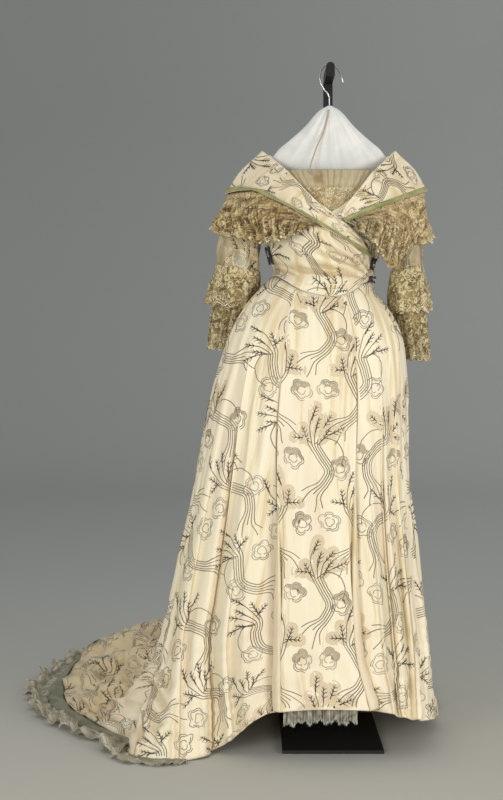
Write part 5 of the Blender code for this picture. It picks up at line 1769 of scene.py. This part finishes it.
def dress_sleeves():
    """The two sleeves, their flounces and the round netted patch on the right one."""
    cords = Threads("sleeve_cords", lace_thread)
    mended = Threads("sleeve_round_patch", patch_net)
    for word, table, side, flip, upper, lower in SLEEVES:
        base = lambda a, b, table=table, side=side: arm(table, side, a, b)

        def sleeve(angle, q, base=base, flip=flip):
            soft = 0.0018 * np.cos(np.radians(angle * 7)) * smooth(q - 0.4) * smooth(4.6 - q)
            drag = 0.0018 * swell(np.radians(angle) * 0.045, q * 0.045, 101, 6, 0.045)
            return moved_out(base, angle, q, soft + drag * smooth(q) * smooth(4.8 - q), flip)

        down = np.linspace(0, 4.85, 62)
        cloth = Cloth("sleeve_" + word, sleeve, np.linspace(0, 360, 121), down, flip, closed=True)
        # Painted shade in the valleys of the folds.
        made = cloth.build(silk_sleeve, shade=cloth.valleys(2, 0.0025))
        weave_figure(cloth, 56 if side > 0 else 57, 0.5 * side, (0.05, 0.03), 0.0, 0.80)
        lace_rows(cords, cloth, 0.0145, 114, 0.010)
        if side > 0:
            apart = ((cloth.point[..., [0, 2]] - (-0.214, 1.138)) ** 2).sum(axis=-1)
            apart = apart + (cloth.normal[..., 1] > -0.3)
            at = np.unravel_index(np.argmin(apart), apart.shape)
            middle = (cloth.x[at], cloth.y[at])
            ring = ring_of(24) * 0.021
            mended.patch(cloth, middle, ring, 0.0014, rings=6)
            for rim in (1.02, 0.90, 0.55):
                cords.ribbon(cloth, np.concatenate([ring, ring[:1]]) * rim + middle, 0.0014, 0.0020)
            for spot in ring[::3] * 0.74:
                cords.patch(cloth, spot + middle, ring[::4] * 0.08, 0.0022, rings=2)
        finish_piece(cloth, made, "sleeve_" + word, "cream_silk", "draped", ["bodice_front_" + word])
        # Tier, span along the arm, waves round it, fullness, flare, distance from the sleeve.
        for tier, *form in (
            ("upper", upper, 9, 0.010, 0.009, 0.0022),
            ("lower", lower, 10, 0.008, 0.002, 0.0009),
        ):
            name = "sleeve_lace_" + tier + "_" + word
            flounce = flounce_form(base, flip, *form)
            cloth = Cloth(name, flounce, np.linspace(0, 360, 241), np.linspace(0, 1, 26), flip, closed=True)
            # Painted shade in the valleys of the folds.
            made = cloth.build(tulle, shade=cloth.valleys(3, 0.0035))
            scallops(cords, cloth, 0.034, 0.012)
            lace_rows(cords, cloth, 0.021, 113)
            finish_piece(cloth, made, name, "gold_lace", "gathered", ["sleeve_" + word])
    return [riding(group.build()) for group in (cords, mended)]


def dress_ornaments():
    """The small trims of black velvet with their pale scrolls."""
    scrolls = Threads("ornament_scrolls", lavender)
    for name, *centre_and_half, push in ORNAMENTS:
        def patch(u, v, centre=centre_and_half[:2], half=centre_and_half[2:], push=push):
            waist = 1 - 0.35 * (1 - np.abs(u)) ** 2
            pucker = 0.0009 * np.sin(u * 9 + v * 4) + 0.0006 * np.sin(v * 14)
            edge = 1 + 0.10 * np.sin(u * 11) * np.abs(v)
            z = centre[1] + v * half[1] * waist * edge
            return bodice(centre[0] + u * half[0], z, push + 0.002 * (1 - u * u) + pucker)

        cloth = Cloth(name, patch, np.linspace(-1, 1, 26), np.linspace(-1, 1, 26), -1.0)
        made = cloth.build(velvet, thick=VELVET)
        rng = np.random.default_rng(len(name))
        for _ in range(9):
            x = rng.uniform(-0.38, 0.38) * cloth.width
            y = rng.uniform(0.15, 0.85) * cloth.down[-1]
            a = np.linspace(0, rng.uniform(3, 6), 9) + rng.uniform(0, 6)
            size = rng.uniform(0.0018, 0.0034)
            line = round_points(a) * size * np.linspace(0.5, 1.2, 9)[:, None] + (x, y)
            scrolls.ribbon(cloth, line, 0.0015, 0.0006, 0.002)
        finish_piece(cloth, made, name, "black_velvet", "folded", ["bodice_front_right"])
    return riding(scrolls.build())


def dress_hanger():
    """The padded hanger's white cover, drawn up to the hook, with the seam along its top."""
    cover = np.array([
        (0.000, 1.336, 1.5105, 0.030), (0.022, 1.337, 1.4990, 0.030), (0.060, 1.342, 1.4580, 0.028),
        (0.100, 1.350, 1.4230, 0.020), (0.120, 1.355, 1.4070, 0.013), (0.138, 1.361, 1.3860, 0.006),
        (0.151, 1.366, 1.3760, 0.004),
    ])
    us = np.concatenate([[-0.151, -0.1505, -0.150], np.linspace(-0.148, 0.148, 112), [0.150, 0.1505, 0.151]])
    vs = np.linspace(0, 360, 97)[:-1]
    u, v = np.meshgrid(us, vs, indexing="ij")
    low, high, thick = np.moveaxis(curve(cover[:, 0], cover[:, 1:], np.abs(u)), -1, 0)
    a = np.radians(v)
    c, s = np.cos(a), np.sin(a)
    z = (low + high) / 2 + (high - low) / 2 * np.sign(s) * np.abs(s) ** 1.3
    deep = thick * np.sign(c) * np.abs(c) ** 0.8
    apex_x, apex_z = 0.0, 1.515
    fan = np.arctan2(u - apex_x, apex_z - z)
    far = np.hypot(u - apex_x, apex_z - z)
    pull = 0.0016 * np.sin(fan * 19 + 1.0) + 0.0012 * np.sin(fan * 31 + 0.4)
    crush = 0.0009 * swell(fan * 0.3, far * 0.1, 121, 5, 0.06)
    end = smooth((0.150 - np.abs(u)) / 0.03)
    deep = deep + np.sign(c) * (pull * smooth(far / 0.03) + crush) * np.abs(c) ** 0.5 * end
    point = stack(u, -0.014 * (1 - (u / 0.151) ** 2) - deep, z)
    nu, nv = u.shape
    rims = []
    for row in (0, -1):
        middle = point[row].mean(axis=0)
        rims.append(middle + (point[row] - middle) * 0.02)
    points = np.concatenate([rims[0], point.reshape(-1, 3), rims[1]])
    made = mesh_piece("hanger_cover", points, tube_quads(nu + 2, nv)[:, [0, 3, 2, 1]], cotton)
    seam = Threads("hanger_cover_seam", pale_thread)
    edge = point[:, np.abs(vs - 90).argmin()] + np.array([0, 0, 0.0004])
    side = np.array([0, 0.0006, 0])
    strip = np.stack([edge - side, edge + side], axis=1).reshape(-1, 3)
    seam.raw(strip, strip_quads(np.arange(len(edge) - 1)))
    riding(seam.build())
    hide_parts("hanger_pad")
    riding(made)


def dress_tape():
    """The flat tape from the hook's foot down to the upper edge of the insert."""
    held = bodice(np.array([17.9, 17.4]), np.array([1.354, 1.342]), -0.0052)
    path = np.array([(-0.003, -0.0330, 1.4970), (-0.013, -0.0440, 1.4500), (-0.034, -0.0585, 1.4000), *held])
    line = curve(np.linspace(0, 1, 5), path, np.linspace(0, 1, 25))
    half = 0.0019
    thick = 0.0004
    sides = [(-half, -thick), (-half * 0.4, -thick * 1.5), (half * 0.4, -thick * 1.1), (half, -thick),
             (half, thick), (half * 0.4, thick * 1.5), (-half * 0.4, thick * 1.1), (-half, thick)]
    ring = np.array([(x, y, 0.0) for x, y in sides])
    points = (line[:, None, :] + ring[None, :, :]).reshape(-1, 3)
    made = mesh_piece("neck_tape", points, tube_quads(len(line), len(ring)), tape_thread)
    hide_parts("hanging_tape")
    riding(made)
    tuple(line[0])
    [tuple(p) for p in line]


def repaint(node, paint):
    """Gives a solid that stays as it is its material."""
    made = bpy.data.objects[node]
    for k in range(len(made.material_slots)):
        made.material_slots[k].material = paint


def studio():
    """The painted sweep, three lamps and the soft light of the room."""
    far, bend = 9.0, 3.0
    arc = np.linspace(0.06, math.pi / 2, 20)
    profile = [(-9.0, 0.0), (far - bend, 0.0)]
    profile += [(far - bend + bend * math.sin(g), bend - bend * math.cos(g)) for g in arc] + [(far, 7.5)]
    points = np.array([(x, y, z) for y, z in profile for x in (-9.0, 9.0)])
    faces = strip_quads(np.arange(len(profile) - 1))
    mesh_piece("studio_sweep", points, faces, studio_paint())
    for name, at, aim, size, power in (
        ("key", (-2.1, -3.6, 1.20), (-0.1, 0.0, 0.55), 1.6, 61.0),
        ("fill", (2.5, -2.9, 1.05), (0.0, 0.0, 0.50), 1.8, 62.0),
        ("crown", (0.2, -0.6, 3.4), (0.0, 0.2, 0.0), 2.6, 6.0),
    ):
        lamp = bpy.data.lights.new(name, "AREA")
        lamp.shape = "DISK"
        lamp.size = size
        lamp.energy = power
        lamp.color = (1.0, 0.985, 0.96)
        made = bpy.data.objects.new(name, lamp)
        made.location = at
        way = np.array(aim) - np.array(at)
        flat = math.hypot(way[0], way[1])
        made.rotation_euler = (math.atan2(flat, -way[2]), 0.0, math.atan2(-way[0], way[1]))
        bpy.context.scene.collection.objects.link(made)
    world = bpy.data.worlds.new("studio_air")
    world.use_nodes = True
    world.node_tree.nodes["Background"].inputs["Color"].default_value = (0.95, 0.98, 1.0, 1.0)
    world.node_tree.nodes["Background"].inputs["Strength"].default_value = 0.50
    bpy.context.scene.world = world


def aim_camera():
    """The camera of the photo: level, in front, a little to the wearer's right."""
    lens = bpy.data.cameras.new("photo_view")
    lens.sensor_fit = "VERTICAL"
    lens.sensor_height = 36.0
    lens.lens = 63.77
    lens.shift_y = -0.0575
    made = bpy.data.objects.new("photo_view", lens)
    made.location = (-0.187, -3.41, 0.914)
    made.rotation_euler = (math.radians(90), 0.0, 0.0)
    bpy.context.scene.collection.objects.link(made)
    bpy.context.scene.camera = made


aim_camera()
silk = silk_paint("cream_silk_figured")
silk_sleeve = silk_paint("cream_silk_sleeve", 1.2, 1.0)
green = green_paint("green_satin", (0.235, 0.240, 0.075), (0.400, 0.385, 0.165))
sage = green_paint("dull_sage", (0.150, 0.150, 0.080), (0.290, 0.275, 0.170))
lace = lace_paint("gold_lace_gathered", (0.480, 0.325, 0.115), (0.130, 0.062, 0.012), (0.770, 0.620, 0.340))
pale_lace = lace_paint("gold_lace_pale", (0.600, 0.440, 0.190), (0.200, 0.110, 0.025), (0.830, 0.700, 0.430))
tulle = lace_paint("tulle_and_lace", (0.490, 0.365, 0.160), (0.190, 0.115, 0.030), (0.810, 0.690, 0.420),
                   62.0, 0.35)
net = net_paint()
grey_ruffle = ruffle_paint("grey_ruffle_frayed", (0.520, 0.475, 0.360), (0.250, 0.222, 0.150), 0.50)
white_ruffle = ruffle_paint("white_ruffle_frayed", (0.520, 0.490, 0.410), (0.260, 0.230, 0.170), 0.45)
cotton = cotton_paint()
velvet = velvet_paint()
lace_thread = thread_paint("lace_cord", (0.780, 0.670, 0.420), 0.7, (0.560, 0.420, 0.190))
fray_thread = thread_paint("fray_thread", (0.470, 0.440, 0.340), 0.8, (0.260, 0.240, 0.170))
pale_thread = thread_paint("pale_thread", (0.600, 0.580, 0.510), 0.8)
patch_net = thread_paint("patch_net", (0.430, 0.395, 0.300), 0.8, (0.330, 0.300, 0.220))
tape_thread = thread_paint("tape_cotton", (0.360, 0.310, 0.215), 0.8)
bead_glass = thread_paint("bead_glass", (0.760, 0.680, 0.500), 0.25)
lavender = thread_paint("lavender_thread", (0.520, 0.500, 0.620), 0.6, (0.760, 0.760, 0.780))
tendrils = Threads("woven_tendrils", thread_paint("tendril_thread", (0.135, 0.105, 0.065), 0.5))
twigs = Threads("woven_twigs", thread_paint("twig_thread", (0.022, 0.018, 0.016), 0.5))
petal_thread = thread_paint("petal_thread", (0.320, 0.285, 0.225), 0.45, (0.200, 0.170, 0.140))
petals = Threads("woven_petals", petal_thread)
flower_ground = thread_paint("flower_ground", (0.430, 0.345, 0.215), 0.45, (0.520, 0.420, 0.270))
shadows = Threads("woven_flower_ground", flower_ground)
tan_ground = thread_paint("tan_ground", (0.600, 0.480, 0.310), 0.42, (0.680, 0.560, 0.380))
halos = Threads("woven_tan_ground", tan_ground)

dress_skirt()
dress_hem()
dress_bodice()
collar_faces = dress_collar()
bertha_cords = dress_bertha(collar_faces)
sleeve_cords = dress_sleeves()
ornament_scrolls = dress_ornaments()
dress_hanger()
dress_tape()
figure = [riding(group.build()) for group in (tendrils, twigs, petals, shadows, halos)]
extras = {
    "skirt_front": figure,
    "bertha_lace_right": [bertha_cords],
    "sleeve_lace_upper_right": sleeve_cords,
    "underarm_trim": [ornament_scrolls],
}
for made, node, flat, area, held, rests_on, with_pieces in pieces:
    with_pieces + extras.get(node, [])
    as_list(rests_on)
repaint("stand_plate", black_paint())
repaint("stand_post", bpy.data.materials["black_stand"])
repaint("hanger_hook", wire_paint())
studio()
scene = bpy.context.scene
scene.view_settings.view_transform = "Standard"
